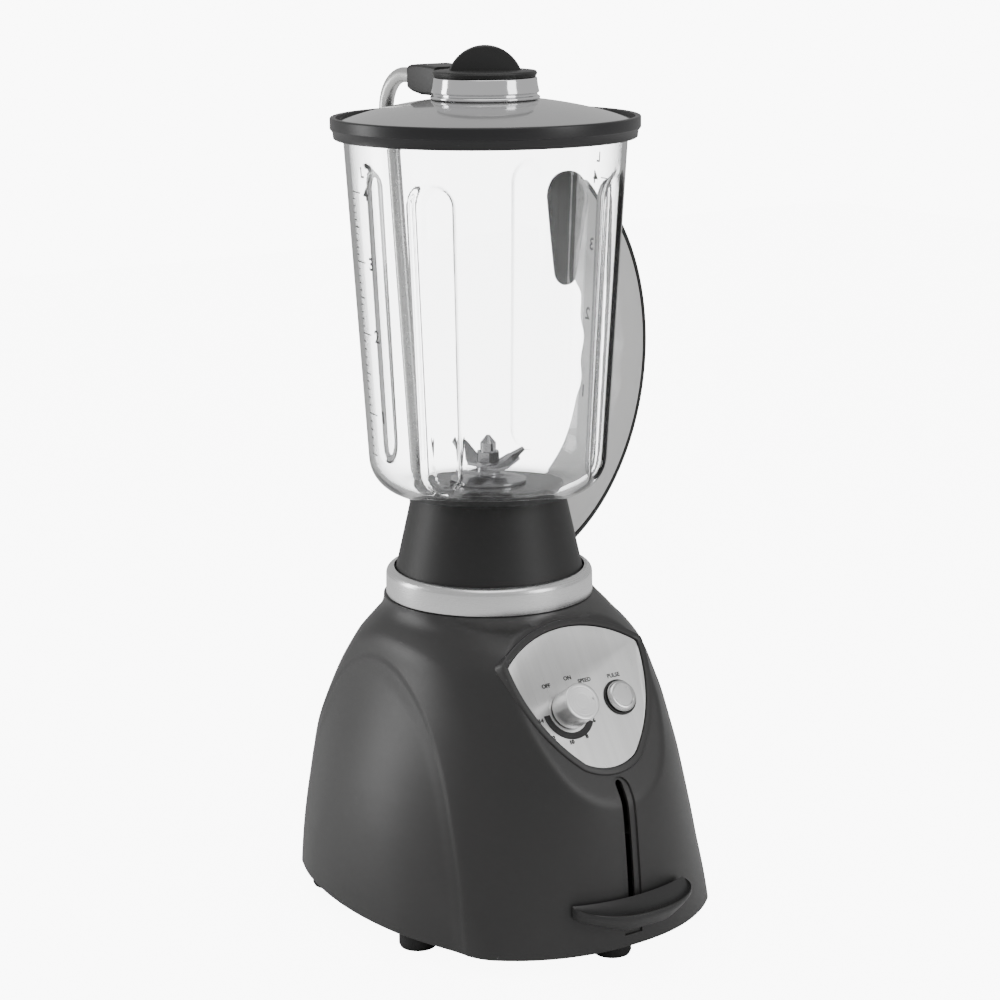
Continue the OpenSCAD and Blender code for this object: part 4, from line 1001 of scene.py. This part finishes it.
marks_bm = bmesh.new()
litres = {1: 336, 2: 388, 3: 434, 4: 478}
mark_heights = [(309, 8)] + [(309 + 27 * k / 5, 4) for k in range(1, 5)] + [(478, 13)]
for n in (1, 2, 3):
    for k in range(10):
        mark_length = 13 if k == 0 else (8 if k == 5 else 4)
        mark_heights.append((litres[n] + (litres[n + 1] - litres[n]) * k / 10, mark_length))
numbers = []
for turn in (165, 345):
    for z, length in mark_heights:
        strip_verts = []
        for x in (0, length / 2, length):
            for dz in (-0.38, 0.38):
                strip_verts.append(marks_bm.verts.new(on_jug(turn)(Vector((x, z + dz, 0.05)))))
        marks_bm.faces.new((strip_verts[0], strip_verts[2], strip_verts[3], strip_verts[1]))
        marks_bm.faces.new((strip_verts[2], strip_verts[4], strip_verts[5], strip_verts[3]))
    numbers += [(str(n), 8, printed_at(turn, 20, z - 4)) for n, z in litres.items()]
    numbers.append(("L", 6.5, printed_at(turn, 17.5, 488)))
bmesh.ops.solidify(marks_bm, geom=marks_bm.faces[:], thickness=0.05)
finished("jug_marks", marks_bm, scale_ink, "base")
lettering("jug_numbers", numbers, scale_ink, "base", 0.22)

# ---- Parts that keep their own shape
# Feet, screws, blades, motor and the rest take their finish here.
rubber = grained(plain_shader("foot_rubber", (0.012, 0.012, 0.012), 0.62), 1200, 0.00004)
steel = grained(plain_shader("bright_steel", (0.52, 0.52, 0.53), 0.2, 1.0), 200, 0.00001)
plate_paint = grained(plain_shader("plate_paint", (0.03, 0.03, 0.032), 0.45), 900, 0.00003)
iron = grained(plain_shader("laminations", (0.2, 0.2, 0.21), 0.5, 0.8), 50, 0.00005, stretch=(1, 1, 50))
copper = grained(plain_shader("copper", (0.6, 0.25, 0.1), 0.35, 1.0), 60, 0.00005, stretch=(1, 1, 30))
board = grained(plain_shader("board", (0.02, 0.13, 0.05), 0.45), 300, 0.00002, speck=0.15)
finish_of = {
    "black_rubber": rubber, "bright_steel": steel, "plate_steel": plate_paint, "laminations": iron,
    "copper_wire": copper, "board_green": board, "black_plastic": collar_black, "moulded_grey": housing_grey,
    "turned_metal": steel, "satin_ring": ring_metal, "clear_jug": clear_jug, "grey_plastic": handle_grey,
    "tube_steel": tube_steel, "brushed_plate": plate_steel, "chrome_metal": chrome,
}
for row in frame["record"]["subparts"]:
    node = frame["nodes"][row["node"]]
    node.data.materials.clear()
    node.data.materials.append(finish_of[row["material_slot"]])
